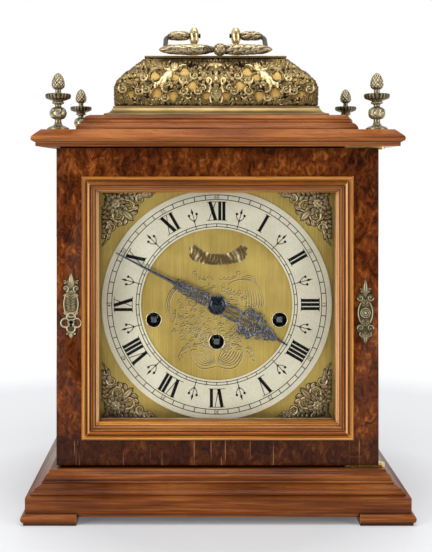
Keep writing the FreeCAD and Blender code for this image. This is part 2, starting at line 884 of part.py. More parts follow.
def door_hinge_leaves():
    y = behind(pivot_behind)
    eye = pivot_radius + running_clearance
    leaves = []
    for z0 in (top_leaf_low() - leaf_gap - leaf_thick, bottom_leaf_low() + leaf_gap + leaf_thick):
        leaf = leaf_blank(z0, z0 + leaf_thick)
        leaves.append(leaf.cut(rod_z(hinge_x, y, z0 - 1, z0 + leaf_thick + 1, eye)))
    return Part.makeCompound(leaves)


def case_hinge_leaves():
    y = behind(pivot_behind)
    overlap = leaf_gap + leaf_thick + 0.2
    top = top_leaf_low()
    upper = joined([leaf_blank(top, top + leaf_thick),
                    rod_z(hinge_x, y, top - overlap, top + 0.5, pivot_radius)])
    low = bottom_leaf_low()
    lower = joined([leaf_blank(low, low + leaf_thick),
                    rod_z(hinge_x, y, low + 0.5, low + leaf_thick + overlap, pivot_radius)])
    return Part.makeCompound([upper, lower])


# ---------------------------------------------------------------- rear door
def rear_axis():
    half = back_opening()[0]
    return half - rear_door_gap / 2, back_y + rear_knuckle_radius


def rear_hinge_levels():
    low, high = back_opening()[1:]
    return (low + rear_hinge_inset, high - rear_hinge_inset - rear_hinge_height)


def rear_door():
    half, low, high = back_opening()
    gap = rear_door_gap
    return box(-half + gap, half - gap, back_y - rear_door_thick, back_y, low + gap, high - gap)


def rear_leaf(side, z0, z1, knuckles):
    # side +1 is screwed to the frame, -1 to the door; knuckles are its spans on the pin.
    x, y = rear_axis()
    r = rear_knuckle_radius
    x0, x1 = sorted((x + side * (r + part_gap), x + side * (r + rear_leaf_width)))
    plate = box(x0, x1, back_y, back_y + rear_leaf_thick, z0, z1)
    pieces = [plate]
    for low, high in knuckles:
        pieces.append(rod_z(x, y, low, high, r))
        x0, x1 = sorted((x, x + side * (r + 1)))
        pieces.append(box(x0, x1, back_y, back_y + rear_leaf_thick, low, high))
    return joined(pieces)


def rear_door_hinges():
    x, y = rear_axis()
    leaves = []
    for z0 in rear_hinge_levels():
        third = rear_hinge_height / 3
        spans = [(z0, z0 + third), (z0 + 2 * third, z0 + 3 * third)]
        pin = rod_z(x, y, z0, z0 + rear_hinge_height, rear_pin_radius)
        leaves.append(joined([rear_leaf(1, z0, z0 + rear_hinge_height, spans), pin]))
    return Part.makeCompound(leaves)


def rear_door_leaves():
    x, y = rear_axis()
    leaves = []
    for z0 in rear_hinge_levels():
        third = rear_hinge_height / 3
        span = (z0 + third + part_gap, z0 + 2 * third - part_gap)
        leaf = rear_leaf(-1, z0, z0 + rear_hinge_height, [span])
        bore = rod_z(x, y, z0 - 1, z0 + rear_hinge_height + 1, rear_pin_radius + running_clearance)
        leaves.append(leaf.cut(bore))
    return Part.makeCompound(leaves)


def rear_turn_button():
    # Stored upright, clear of the door; turned level it laps over the door's edge.
    x, z = button_place()
    y0 = back_y + part_gap
    y1 = y0 + button_thick
    half = button_width / 2
    bar = box(x - half, x + half, y0, y1, z - button_length / 2, z + button_length / 2)
    upright = [edge for edge in bar.Edges if abs(edge.tangentAt(edge.FirstParameter).y) > 0.9]
    bar = bar.makeFillet(button_width * 0.4, upright)
    pin = rod_y(x, z, button_pin_radius, back_y - button_pin_depth, y0 + 1)
    head = rod_y(x, z, button_head_radius, y1 - 1, y1 + button_head_height)
    return joined([bar, pin, head])


# ---------------------------------------------------------------- dial
def winding_places():
    return [(-side_arbor_x, side_arbor_z), (0, going_arbor_z), (side_arbor_x, side_arbor_z)]


def dial_foot_places():
    return [(sx * dial_foot_x, dial_height + sz * dial_foot_z) for sx in (-1, 1) for sz in (-1, 1)]


def dial_plate():
    half = dial_size / 2
    y0 = behind(dial_setback)
    y1 = behind(dial_back)
    plate = box(-half, half, y0, y1, dial_height - half, dial_height + half)
    feet_end = behind(front_plate_setback)
    feet = [rod_y(x, z, dial_foot_radius, y1 - 0.5, feet_end) for x, z in dial_foot_places()]
    plate = joined([plate] + feet)
    plate = plate.cut(rod_y(0, dial_height, dial_centre_hole_radius, y0 - 1, y1 + 1))
    for x, z in winding_places():
        plate = plate.cut(rod_y(x, z, winding_hole_radius, y0 - 1, y1 + 1))
    return plate


def chapter_ring():
    return flat_ring(0, dial_height, ring_radius, ring_inner_radius, behind(ring_front), behind(dial_setback))


def corner_spandrels():
    # Cast corners between the ring and the mask, each with three round piercings.
    y0 = behind(dial_setback - spandrel_thick)
    y1 = behind(dial_setback)
    far = mask_opening / 2 - 1.5
    near = far - spandrel_leg
    disc = rod_y(0, dial_height, ring_radius + spandrel_gap, y0 - 1, y1 + 1)
    pieces = []
    for sx in (-1, 1):
        for sz in (-1, 1):
            x0, x1 = sorted((sx * near, sx * far))
            z0, z1 = sorted((sz * near, sz * far))
            casting = box(x0, x1, y0, y1, dial_height + z0, dial_height + z1).cut(disc)
            for dx, dz in ((8.0, 8.0), (7.0, 21.0), (21.0, 7.0)):
                hole = rod_y(sx * (far - dx), dial_height + sz * (far - dz), 2.2, y0 - 1, y1 + 1)
                casting = casting.cut(hole)
            pieces.append(casting)
    return Part.makeCompound(pieces)


# ---------------------------------------------------------------- hands
def set_hand(hand, angle):
    hand.rotate(vec(0, 0, 0), vec(0, 1, 0), angle)
    hand.translate(vec(0, 0, dial_height))
    return hand


def minute_hand():
    # Pierced scrolls near the hub, then a slender pointer.
    y0 = behind(minute_hand_front)
    y1 = behind(minute_hand_back)
    pieces = [rod_y(0, 0, 6.2, y0, y1)]
    pieces.append(plate_xz([(-1.6, 0), (1.6, 0), (1.3, 38), (-1.3, 38)], y0, y1))
    for side in (-1, 1):
        for height, outer, inner in ((11.0, 3.9, 1.8), (19.0, 3.6, 1.7), (27.0, 3.0, 1.4), (33.5, 2.3, 1.0)):
            pieces.append(flat_ring(side * (outer - 0.4), height, outer, inner, y0, y1))
    tip = minute_hand_length
    pieces.append(plate_xz([(-2.3, 36), (2.3, 36), (0.35, tip), (-0.35, tip)], y0, y1))
    hand = joined(pieces)
    hand = hand.cut(rod_y(0, 0, cannon_radius + running_clearance, y0 - 1, y1 + 1))
    return set_hand(hand, minute_hand_angle)


def hour_hand():
    # Two pairs of pierced lobes on a short stem, ending in a point.
    y0 = behind(hour_hand_front)
    y1 = behind(hour_hand_back)
    length = hour_hand_length
    pieces = [rod_y(0, 0, 7.6, y0, y1)]
    pieces.append(plate_xz([(-2.0, 0), (2.0, 0), (1.6, length - 8), (-1.6, length - 8)], y0, y1))
    for side in (-1, 1):
        lobes = ((14.0, 4.2, 2.0), (24.0, 3.4, 1.6), (length - 24, 6.0, 3.2), (length - 14, 4.2, 2.0))
        for height, outer, inner in lobes:
            pieces.append(flat_ring(side * (outer - 0.6), height, outer, inner, y0, y1))
    pieces.append(plate_xz([(-3.2, length - 12), (3.2, length - 12), (0, length)], y0, y1))
    hand = joined(pieces)
    hand = hand.cut(rod_y(0, 0, hour_pipe_radius + running_clearance, y0 - 1, y1 + 1))
    return set_hand(hand, hour_hand_angle)


def hand_nut():
    y0 = behind(minute_hand_front - nut_height)
    path = [(0, 0), (nut_radius * 0.72, 0.7, nut_radius, nut_height - 0.6), (nut_radius, nut_height)]
    nut = turned_y(path, 0, dial_height, y0)
    bore = centre_arbor_radius + running_clearance
    return nut.cut(rod_y(0, dial_height, bore, y0 + 1.2, y0 + nut_height + 1))


# ---------------------------------------------------------------- motion work
def cannon_pinion():
    pitch_radius = motion_centre_distance * cannon_teeth / (cannon_teeth + minute_wheel_teeth)
    y1 = behind(cannon_back)
    tube = rod_y(0, dial_height, cannon_radius, behind(minute_hand_front), y1)
    teeth = gear(cannon_teeth, pitch_radius, 0, dial_height, behind(cannon_front), y1, 0)
    bore = centre_arbor_radius + running_clearance
    return joined([tube, teeth]).cut(rod_y(0, dial_height, bore, behind(0), y1 + 1))


def minute_wheel():
    z = dial_height + motion_centre_distance
    radius = motion_centre_distance * minute_wheel_teeth / (cannon_teeth + minute_wheel_teeth)
    pinion_radius = motion_centre_distance * minute_pinion_teeth / (minute_pinion_teeth + hour_wheel_teeth)
    y0 = behind(hour_wheel_front - 0.5)
    wheel_phase = 180 + 180 / minute_wheel_teeth
    wheel = gear(minute_wheel_teeth, radius, 0, z, behind(cannon_front), behind(cannon_back), wheel_phase)
    pinion_phase = 180 + 180 / minute_pinion_teeth
    pinion = gear(minute_pinion_teeth, pinion_radius, 0, z, y0, behind(cannon_front), pinion_phase)
    hub = rod_y(0, z, pinion_radius, behind(cannon_back), behind(front_plate_setback - part_gap))
    bore = rod_y(0, z, stud_radius + running_clearance, y0 - 1, behind(front_plate_setback))
    return joined([wheel, pinion, hub]).cut(bore)


def hour_wheel():
    radius = motion_centre_distance * hour_wheel_teeth / (minute_pinion_teeth + hour_wheel_teeth)
    y0 = behind(hour_wheel_front)
    y1 = behind(hour_wheel_back)
    wheel = gear(hour_wheel_teeth, radius, 0, dial_height, y0, y1, 0)
    pipe = rod_y(0, dial_height, hour_pipe_radius, behind(hour_hand_front), y1)
    bore = rod_y(0, dial_height, cannon_radius + running_clearance, behind(0), y1 + 1)
    return joined([wheel, pipe]).cut(bore)


# ---------------------------------------------------------------- movement
def pillar_places():
    x = plate_width / 2 - pillar_inset
    low = plate_low_z + pillar_inset
    high = plate_low_z + plate_height - pillar_inset
    return [(-x, low), (x, low), (-x, high), (x, high), (0, low)]


def movement_plate(y0, centre_bore, arbor_bore):
    half = plate_width / 2
    y1 = y0 + plate_thick
    plate = box(-half, half, y0, y1, plate_low_z, plate_low_z + plate_height)
    plate = plate.cut(rod_y(0, dial_height, centre_bore, y0 - 1, y1 + 1))
    for x, z in winding_places():
        plate = plate.cut(rod_y(x, z, arbor_bore, y0 - 1, y1 + 1))
    return plate


def front_plate():
    y0 = behind(front_plate_setback)
    centre = centre_arbor_radius + running_clearance
    plate = movement_plate(y0, centre, arbor_radius + running_clearance)
    z = dial_height + motion_centre_distance
    stud = rod_y(0, z, stud_radius, behind(hour_wheel_front - 1.0), y0 + 1)
    return joined([plate, stud])


def back_plate():
    y0 = behind(back_plate_setback)
    rear = behind(back_plate_rear)
    centre = centre_arbor_radius + running_clearance
    plate = movement_plate(y0, centre, arbor_radius + running_clearance)
    head_y = rear + pendulum_behind_plate + 5
    post = rod_y(0, pendulum_pivot_z(), pendulum_post_radius, rear - 1, head_y + 1)
    head = rod_y(0, pendulum_pivot_z(), pendulum_post_radius + 1.3, head_y, head_y + 2)
    parts = [plate, post, head]
    axis_y, axis_z = hammer_axis()
    for x in hammer_bracket_places():
        arm = box(x - 1, x + 1, rear - 1, axis_y + 4, axis_z - 4, axis_z + 4)
        hole = rod_x(x - 2, x + 2, axis_y, axis_z, hammer_pin_radius + running_clearance)
        parts.append(arm.cut(hole))
    return joined(parts)


def plate_pillars():
    y0 = behind(plates_inside)
    y1 = behind(back_plate_setback)
    pillars = []
    for x, z in pillar_places():
        pillar = rod_y(x, z, pillar_radius * 0.75, y0, y1)
        collars = [rod_y(x, z, pillar_radius, start, start + 5) for start in (y0, y1 - 5)]
        pillars.append(joined([pillar] + collars))
    return Part.makeCompound(pillars)


def winding_arbor(x, z):
    square_y = behind(dial_back - 0.5)
    y1 = behind(back_plate_rear)
    round_y = behind(front_plate_setback - 1)
    half = winding_square / 2
    shaft = rod_y(x, z, arbor_radius, round_y, y1)
    square = box(x - half, x + half, square_y, round_y + 0.5, z - half, z + half)
    return joined([shaft, square])


def spring_barrel(x, z, teeth, wheel_radius, phase):
    y0 = behind(barrel_front)
    y1 = behind(great_wheel_front)
    drum = rod_y(x, z, barrel_radius, y0, y1)
    lid = rod_y(x, z, barrel_radius - 2.5, y0 - 0.8, y0 + 0.5)
    wheel = gear(teeth, wheel_radius, x, z, y1, behind(great_wheel_back), phase)
    bore = rod_y(x, z, arbor_radius + running_clearance, y0 - 2, behind(great_wheel_back) + 1)
    return joined([drum, lid, wheel]).cut(bore)


def going_barrel():
    radius = going_arbor_drop * great_wheel_teeth / (great_wheel_teeth + centre_pinion_teeth)
    phase = 180 / great_wheel_teeth
    return spring_barrel(0, going_arbor_z, great_wheel_teeth, radius, phase)


def centre_wheel():
    radius = going_arbor_drop * centre_pinion_teeth / (great_wheel_teeth + centre_pinion_teeth)
    tip_y = behind(minute_hand_front) - 1.4
    arbor = rod_y(0, dial_height, centre_arbor_radius, tip_y, behind(back_plate_rear))
    pinion = gear(centre_pinion_teeth, radius, 0, dial_height,
                  behind(great_wheel_front - 0.5), behind(great_wheel_back + 1), 180)
    y0 = behind(plates_inside + 2.5)
    rim = rod_y(0, dial_height, centre_wheel_radius, y0, y0 + 1.8)
    hub = rod_y(0, dial_height, 5.0, y0 - 1, y0 + 4)
    windows = []
    for index in range(5):
        angle = math.radians(index * 72 + 36)
        middle = centre_wheel_radius * 0.58
        windows.append(rod_y(middle * math.sin(angle), dial_height + middle * math.cos(angle),
                             centre_wheel_radius * 0.27, y0 - 1, y0 + 3))
    return joined([arbor, pinion, joined([rim, hub]).cut(windows)])


# ---------------------------------------------------------------- pendulum, gongs, hammers
def pendulum_pivot_z():
    return plate_low_z + plate_height - pendulum_pivot_drop


def pendulum():
    z = pendulum_pivot_z()
    y = behind(back_plate_rear + pendulum_behind_plate)
    bore = rod_y(0, z, pendulum_post_radius + running_clearance, y - 3, y + 3)
    eye = rod_y(0, z, 4.5, y - 2, y + 2).cut(bore)
    rod = rod_z(0, y, z - pendulum_length - bob_radius - 6, z - 4, pendulum_rod_radius)
    bob_path = [(0, 0), (bob_radius * 0.7, 1.1, bob_radius, bob_thick / 2),
                (bob_radius * 0.7, bob_thick - 1.1, 0, bob_thick)]
    bob = turned_y(bob_path, 0, z - pendulum_length, y - bob_thick / 2)
    nut = rod_z(0, y, z - pendulum_length - bob_radius - 4, z - pendulum_length - bob_radius - 1, 3.0)
    return joined([eye, rod, bob, nut])


def gong_places():
    return [gong_x - index * gong_pitch for index in range(gong_count)]


def gong_rods():
    # A heavy block screwed to the base board, with one rod per note standing in it.
    y = behind(gong_behind)
    places = gong_places()
    half = gong_block / 2
    z0 = base_top_z + gong_block
    block = box(places[-1] - half, places[0] + half, y - half, y + half, base_top_z, z0)
    rods = []
    for index, x in enumerate(places):
        length = gong_length - index * gong_step
        rods.append(rod_z(x, y, z0, z0 + length, gong_radius))
        rods.append(rod_z(x, y, z0, z0 + gong_collar_height, gong_radius + gong_collar))
    return joined([block] + rods)


def hammer_axis():
    return behind(gong_behind - hammer_axis_ahead), plate_low_z + hammer_axis_height


def hammer_bracket_places():
    places = gong_places()
    return (places[-1] - 7.0, places[0] + 7.0)


def hammers():
    y, z = hammer_axis()
    left, right = hammer_bracket_places()
    arbor = rod_x(left - 2, right + 2, y, z, hammer_pin_radius)
    sleeve = rod_x(left + 1.5, right - 1.5, y, z, 1.8)
    pieces = [arbor, sleeve]
    rod_face = behind(gong_behind) - gong_radius
    for x in gong_places():
        half = hammer_arm_width / 2
        front = y - hammer_arm_ahead
        arm = box(x - half, x + half, front, front + hammer_arm_thick, z - hammer_length, z - 1)
        link = box(x - half, x + half, front, y, z - 2, z + 1)
        head = rod_y(x, z - hammer_length, hammer_head_radius, y - 10, rod_face - 2.5)
        pieces += [arm, link, head]
    return joined(pieces)


# ---------------------------------------------------------------- write every piece
def build_nodes():
    corners = [("left", -1), ("right", 1)]
    nodes = {
        "base_moulding": base_moulding(),
        "base_board": base_board(),
    }
    for name, side in corners:
        nodes["foot_front_" + name] = foot(side, True)
        nodes["foot_rear_" + name] = foot(side, False)
        nodes["side_panel_" + name] = side_panel(side)
    nodes["back_frame"] = back_frame()
    nodes["cornice_board"] = cornice_board()
    nodes["caddy_board"] = caddy_board()
    nodes["dial_mask"] = dial_mask()
    nodes["seat_board"] = seat_board()
    nodes["basket_base"] = basket_base()
    nodes["basket_shell"] = basket_shell()
    nodes["basket_lining"] = basket_lining()
    nodes["basket_cap"] = basket_cap()
    nodes["handle_posts"] = handle_posts()
    nodes["carrying_handle"] = carrying_handle()
    finial_names = ("front_left", "front_right", "rear_left", "rear_right")
    for name, (x, y) in zip(finial_names, finial_places()):
        nodes["finial_" + name] = finial(x, y)
    nodes["door_frame"] = door_frame()
    nodes["door_moulding"] = door_moulding()
    nodes["door_glass"] = door_glass()
    nodes["glass_beads"] = glass_beads()
    nodes["keyhole_escutcheon"] = keyhole_escutcheon()
    nodes["knob_escutcheon"] = knob_escutcheon()
    nodes["door_lock"] = door_lock()
    nodes["lock_cam"] = lock_cam()
    nodes["lock_strike"] = lock_strike()
    nodes["door_hinge_leaves"] = door_hinge_leaves()
    nodes["case_hinge_leaves"] = case_hinge_leaves()
    nodes["rear_door"] = rear_door()
    nodes["rear_door_leaves"] = rear_door_leaves()
    nodes["rear_door_hinges"] = rear_door_hinges()
    nodes["rear_turn_button"] = rear_turn_button()
    nodes["dial_plate"] = dial_plate()
    nodes["chapter_ring"] = chapter_ring()
    nodes["corner_spandrels"] = corner_spandrels()
    nodes["minute_hand"] = minute_hand()
    nodes["hour_hand"] = hour_hand()
    nodes["hand_nut"] = hand_nut()
    nodes["cannon_pinion"] = cannon_pinion()
    nodes["minute_wheel"] = minute_wheel()
    nodes["hour_wheel"] = hour_wheel()
    nodes["front_plate"] = front_plate()
    nodes["back_plate"] = back_plate()
    nodes["plate_pillars"] = plate_pillars()
    arbor_names = ("strike_winding_arbor", "going_winding_arbor", "chime_winding_arbor")
    for name, (x, z) in zip(arbor_names, winding_places()):
        nodes[name] = winding_arbor(x, z)
    nodes["going_barrel"] = going_barrel()
    side_barrel = (side_wheel_teeth, side_wheel_radius, 0)
    nodes["strike_barrel"] = spring_barrel(-side_arbor_x, side_arbor_z, *side_barrel)
    nodes["chime_barrel"] = spring_barrel(side_arbor_x, side_arbor_z, *side_barrel)
    nodes["centre_wheel"] = centre_wheel()
    nodes["pendulum"] = pendulum()
    nodes["gong_rods"] = gong_rods()
    nodes["hammers"] = hammers()
    return nodes


os.makedirs("parts", exist_ok=True)
for node, shape in build_nodes().items():
    shape.exportStep("parts/" + node + ".step")
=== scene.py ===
# %% [markdown]
# # A bracket clock, dressed piece by piece
# The wooden case, the brass top and the movement come packed as plain solids that already have
# their true sizes. Here they get what the real clock shows: polished grain, cast and chased brass,
# a silvered ring with black wax in its engraving, and blued hands. Sizes are written in
# millimetres and turned into metres where a mesh is made.

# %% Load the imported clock
import math

import bpy
import numpy as np
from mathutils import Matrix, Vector


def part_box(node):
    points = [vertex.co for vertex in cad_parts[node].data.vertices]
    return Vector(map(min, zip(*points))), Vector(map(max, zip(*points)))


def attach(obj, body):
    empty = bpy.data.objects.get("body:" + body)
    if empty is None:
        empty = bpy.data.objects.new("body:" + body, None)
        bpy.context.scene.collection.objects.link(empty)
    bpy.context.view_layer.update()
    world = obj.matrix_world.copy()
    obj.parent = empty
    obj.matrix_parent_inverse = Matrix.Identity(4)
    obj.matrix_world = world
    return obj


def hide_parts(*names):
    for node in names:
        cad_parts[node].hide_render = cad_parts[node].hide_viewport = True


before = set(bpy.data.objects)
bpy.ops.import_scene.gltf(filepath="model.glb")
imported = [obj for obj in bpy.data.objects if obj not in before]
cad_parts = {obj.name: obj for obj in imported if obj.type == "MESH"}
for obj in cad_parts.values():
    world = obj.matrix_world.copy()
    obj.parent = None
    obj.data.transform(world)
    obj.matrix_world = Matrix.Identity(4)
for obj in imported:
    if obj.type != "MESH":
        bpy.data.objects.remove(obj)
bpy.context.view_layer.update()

MM = 0.001
print("nodes loaded:", len(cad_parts))

# %% [markdown]
# Every operator works on what is selected, so one small helper picks exactly the pieces that the
# next step should touch. A second one turns a finished piece into part of the clock: it hangs it on
# the body it rides on and hides the plain solid it stands for. The material slot it is given is not used.

# %% Small helpers
def only(*things):
    if bpy.context.mode != "OBJECT":
        bpy.ops.object.mode_set(mode="OBJECT")
    bpy.ops.object.select_all(action="DESELECT")
    for thing in things:
        thing.select_set(True)
    bpy.context.view_layer.objects.active = things[0]


def settle(piece):
    only(piece)
    bpy.ops.object.transform_apply(location=True, rotation=True, scale=True)


def fit(piece, body, slot, *nodes):
    settle(piece)
    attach(piece, body)
    if nodes:
        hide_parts(*nodes)
    return piece


def paint(piece, *materials):
    piece.data.materials.clear()
    for material in materials:
        piece.data.materials.append(material)


def new_mesh(name, corners, faces):
    mesh = bpy.data.meshes.new(name)
    mesh.from_pydata([tuple(c) for c in corners], [], faces)
    mesh.update()
    piece = bpy.data.objects.new(name, mesh)
    bpy.context.scene.collection.objects.link(piece)
    return piece


def join(name, pieces):
    only(*pieces)
    if len(pieces) > 1:
        bpy.ops.object.join()
    piece = bpy.context.view_layer.objects.active
    piece.name = name
    return piece


def smooth(piece, angle):
    only(piece)
    bpy.ops.object.shade_smooth_by_angle(angle=math.radians(angle))


def face_outwards(piece, merge=None):
    # Points closer than merge (in metres) become one first, where it is given.
    only(piece)
    bpy.ops.object.mode_set(mode="EDIT")
    bpy.ops.mesh.select_all(action="SELECT")
    if merge:
        bpy.ops.mesh.remove_doubles(threshold=merge)
    bpy.ops.mesh.normals_make_consistent(inside=False)
    bpy.ops.object.mode_set(mode="OBJECT")


# %% [markdown]
# Materials are small graphs of noise. `shader` starts one, `put` adds a node and wires it, and
# `preset` sets plain numbers on the shader. `spot` gives the place on the piece, `noise` the grain,
# and `reckon`, `level`, `ramp` and `blend` turn it into shades and colours. `bump` raises the surface.

# %% Material helpers
def shader(name):
    material = bpy.data.materials.new(name)
    material.use_nodes = True
    tree = material.node_tree
    return material, tree, tree.nodes["Principled BSDF"]


def put(tree, kind, sockets=None, **settings):
    item = tree.nodes.new("ShaderNode" + kind)
    for key, value in settings.items():
        setattr(item, key, value)
    for key, value in (sockets or {}).items():
        if isinstance(value, bpy.types.NodeSocket):
            tree.links.new(value, item.inputs[key])
        else:
            item.inputs[key].default_value = value
    return item


def preset(base, **values):
    # Coat_Weight=0.2 sets the socket named Coat Weight.
    for key, value in values.items():
        base.inputs[key.replace("_", " ")].default_value = value


def spot(tree, where, size=(1, 1, 1)):
    coords = put(tree, "TexCoord")
    return put(tree, "Mapping", {"Vector": coords.outputs[where], "Scale": size}).outputs[0]


def reckon(tree, operation, *values):
    return put(tree, "Math", dict(enumerate(values)), operation=operation).outputs[0]


def noise(tree, vector, scale, detail=4, rough=0.55, twist=0):
    item = put(tree, "TexNoise", {"Vector": vector, "Scale": scale, "Detail": detail,
                                  "Roughness": rough, "Distortion": twist})
    return item.outputs["Fac"]


def ramp(tree, value, *stops):
    item = put(tree, "ValToRGB", {"Fac": value})
    bar = item.color_ramp
    while len(bar.elements) < len(stops):
        bar.elements.new(0.5)
    for element, (place, color) in zip(bar.elements, stops):
        element.position = place
        element.color = (*color, 1)
    return item.outputs["Color"]


def level(tree, value, low, high, to_low=0.0, to_high=1.0):
    return put(tree, "MapRange", {"Value": value, "From Min": low, "From Max": high,
                                  "To Min": to_low, "To Max": to_high}).outputs[0]


def blend(tree, amount, a, b, mode="MIX"):
    item = put(tree, "Mix", data_type="RGBA", blend_type=mode)
    for key, value in ((0, amount), (6, a), (7, b)):
        if isinstance(value, bpy.types.NodeSocket):
            tree.links.new(value, item.inputs[key])
        else:
            item.inputs[key].default_value = value if key == 0 else (*value, 1)
    return item.outputs[2]


def bump(tree, base, height, depth, distance=0.0004):
    item = put(tree, "Bump", {"Height": height, "Strength": depth, "Distance": distance})
    tree.links.new(item.outputs[0], base.inputs["Normal"])


# %% [markdown]
# A camera stands where the photographer stood: three quarters of a metre in front of the door, a
# little to the left of its middle and above the dial, looking level. A shifted lens takes in the
# base and keeps the sides of the case upright.

# %% Camera
CAMERA_ASIDE, CAMERA_AWAY, CAMERA_HIGH = -19.2, 743, 270
door_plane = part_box("door_frame")[0].y
bpy.ops.object.camera_add(location=(CAMERA_ASIDE * MM, door_plane - CAMERA_AWAY * MM, CAMERA_HIGH * MM))
camera = bpy.context.object
camera.rotation_euler = (math.radians(90), 0, 0)
camera.data.sensor_width = 36
camera.data.lens = 61.96
camera.data.shift_x = 0.0417
camera.data.shift_y = -0.1920
bpy.context.scene.camera = camera
bpy.context.scene.view_settings.view_transform = "Standard"
print("camera at", [round(v, 4) for v in camera.location])

# %% [markdown]
# A pale floor, a white room and three soft boxes make the light of a small studio. Two tall boxes
# stand beside the clock, so upright mouldings get a bright line down each edge, and a wide one
# hangs overhead for the tops of the mouldings. The eye sees white all round, while polished metal
# mirrors a room that is darker on the camera's side. The floor glows more, further from the clock.

# %% Floor and lights
def ways_of_seeing(tree):
    # Seen by the eye or through glass; seen as a reflection.
    rays = put(tree, "LightPath").outputs
    return reckon(tree, "MAXIMUM", rays["Is Camera Ray"], rays["Is Transmission Ray"]), rays["Is Glossy Ray"]


bpy.ops.mesh.primitive_plane_add(size=6)
floor = bpy.context.object
floor.name = "studio_floor"
paper, sheet, white = shader("studio_paper")
preset(white, Base_Color=(0.54, 0.55, 0.57, 1), Roughness=0.55, Emission_Color=(0.97, 0.985, 1, 1))
spread = put(sheet, "TexCoord").outputs["Object"]
aside = put(sheet, "VectorMath", {0: spread, 1: (0.0, 0.05, 0.0)}, operation="ADD").outputs[0]
reach = put(sheet, "VectorMath", {0: aside}, operation="LENGTH").outputs["Value"]
near_glow = level(sheet, reach, 0.10, 0.24, 0.10, 0.37)
far_glow = level(sheet, reach, 0.24, 0.80, 0.0, 1.0)
seen = reckon(sheet, "MAXIMUM", *ways_of_seeing(sheet))
glow = reckon(sheet, "MULTIPLY", reckon(sheet, "MAXIMUM", near_glow, far_glow), seen)
sheet.links.new(glow, white.inputs["Emission Strength"])
paint(floor, paper)

world = bpy.data.worlds.new("studio")
bpy.context.scene.world = world
world.use_nodes = True
sky = world.node_tree
ground = sky.nodes["Background"]
ground.inputs["Color"].default_value = (1, 1, 1, 1)
depth_way = put(sky, "SeparateXYZ", {0: put(sky, "TexCoord").outputs["Generated"]}).outputs["Y"]
behind = level(sky, depth_way, -0.1, 0.25, 0.13, 1.0)
to_eye, mirrored = ways_of_seeing(sky)
mirror_light = put(sky, "Mix", {"Factor": mirrored, "A": 0.34, "B": behind}).outputs["Result"]
strength = put(sky, "Mix", {"Factor": to_eye, "A": mirror_light, "B": 1.0}).outputs["Result"]
sky.links.new(strength, ground.inputs["Strength"])


def soft_box(name, place, target, width, height, power):
    bpy.ops.object.light_add(type="AREA", location=place)
    lamp = bpy.context.object
    lamp.name = name
    lamp.data.shape = "RECTANGLE"
    lamp.data.size = width
    lamp.data.size_y = height
    lamp.data.energy = power
    lamp.rotation_euler = (Vector(target) - Vector(place)).to_track_quat("-Z", "Y").to_euler()


soft_box("left_box", (-0.95, -0.85, 0.42), (0, 0, 0.18), 0.5, 0.9, 11)
soft_box("right_box", (1.00, -0.75, 0.45), (0, 0, 0.18), 0.4, 0.9, 7)
soft_box("top_box", (0.0, -0.35, 1.15), (0, 0, 0.2), 0.9, 0.6, 9)

# %% [markdown]
# Walnut mouldings are run along their length, so the grain follows each length and meets at a
# mitre in the corners. The grain is noise drawn out about thirtyfold along that direction, with
# fine dark pores on top, painted shade in the hollows from an occlusion node, and a polished coat over all.

# %% Walnut with straight grain
def straight_walnut(name, deep, middle, pale, where="UV", rough=0.3, coat=0.22):
    material, tree, base = shader(name)

    def drawn_out(along, across):
        return spot(tree, where, (across, across, along) if where == "Object" else (along, across, across))

    bands = noise(tree, drawn_out(5, 130), 1.0, 3, 0.5, 0.6)
    streaks = noise(tree, drawn_out(16, 620), 1.0, 5, 0.62, 0.25)
    pores = noise(tree, drawn_out(110, 3600), 1.0, 2, 0.6)
    both = reckon(tree, "ADD", bands, streaks)
    tone = ramp(tree, level(tree, both, 0.66, 1.34), (0.0, deep), (0.5, middle), (1.0, pale))
    dark = level(tree, pores, 0.60, 0.70)
    tone = blend(tree, reckon(tree, "MULTIPLY", dark, 0.5), tone, [c * 0.35 for c in deep])
    # Painted shade: an occlusion node darkens the colour in hollows and grooves.
    groove = put(tree, "AmbientOcclusion", {"Distance": 0.004}, samples=4).outputs["AO"]
    painted_hollow_shade = level(tree, groove, 0.95, 0.50, 0.0, 0.92)
    tree.links.new(blend(tree, painted_hollow_shade, tone, [c * 0.30 for c in deep]), base.inputs["Base Color"])
    tree.links.new(level(tree, streaks, 0.3, 0.7, rough - 0.05, rough + 0.12), base.inputs["Roughness"])
    preset(base, Specular_IOR_Level=0.08, Coat_Weight=coat, Coat_IOR=1.42, Coat_Roughness=0.12)
    bump(tree, base, streaks, 0.25, 0.0002)
    return material


walnut = straight_walnut("walnut", (0.030, 0.006, 0.001), (0.150, 0.038, 0.006), (0.34, 0.115, 0.026))
# Lighter edge wood: partly rubbed wear, partly a painted highlight on the arrises.
walnut_wear_and_highlight = straight_walnut("walnut_wear_and_highlight_edge", (0.20, 0.065, 0.022), (0.38, 0.155, 0.065),
                              (0.55, 0.28, 0.15))
honey = straight_walnut("honey_walnut", (0.12, 0.026, 0.003), (0.390, 0.130, 0.010), (0.66, 0.285, 0.032))
# Painted shade for the hollow bands of the door moulding.
honey_shaded_band = straight_walnut("honey_shaded", (0.070, 0.014, 0.002), (0.230, 0.062, 0.008),
                            (0.42, 0.140, 0.022))
# Painted shade for the grooves of the door moulding.
groove_shade_honey = straight_walnut("honey_painted_groove_shade", (0.010, 0.002, 0.001), (0.035, 0.009, 0.002),
                             (0.09, 0.025, 0.006))
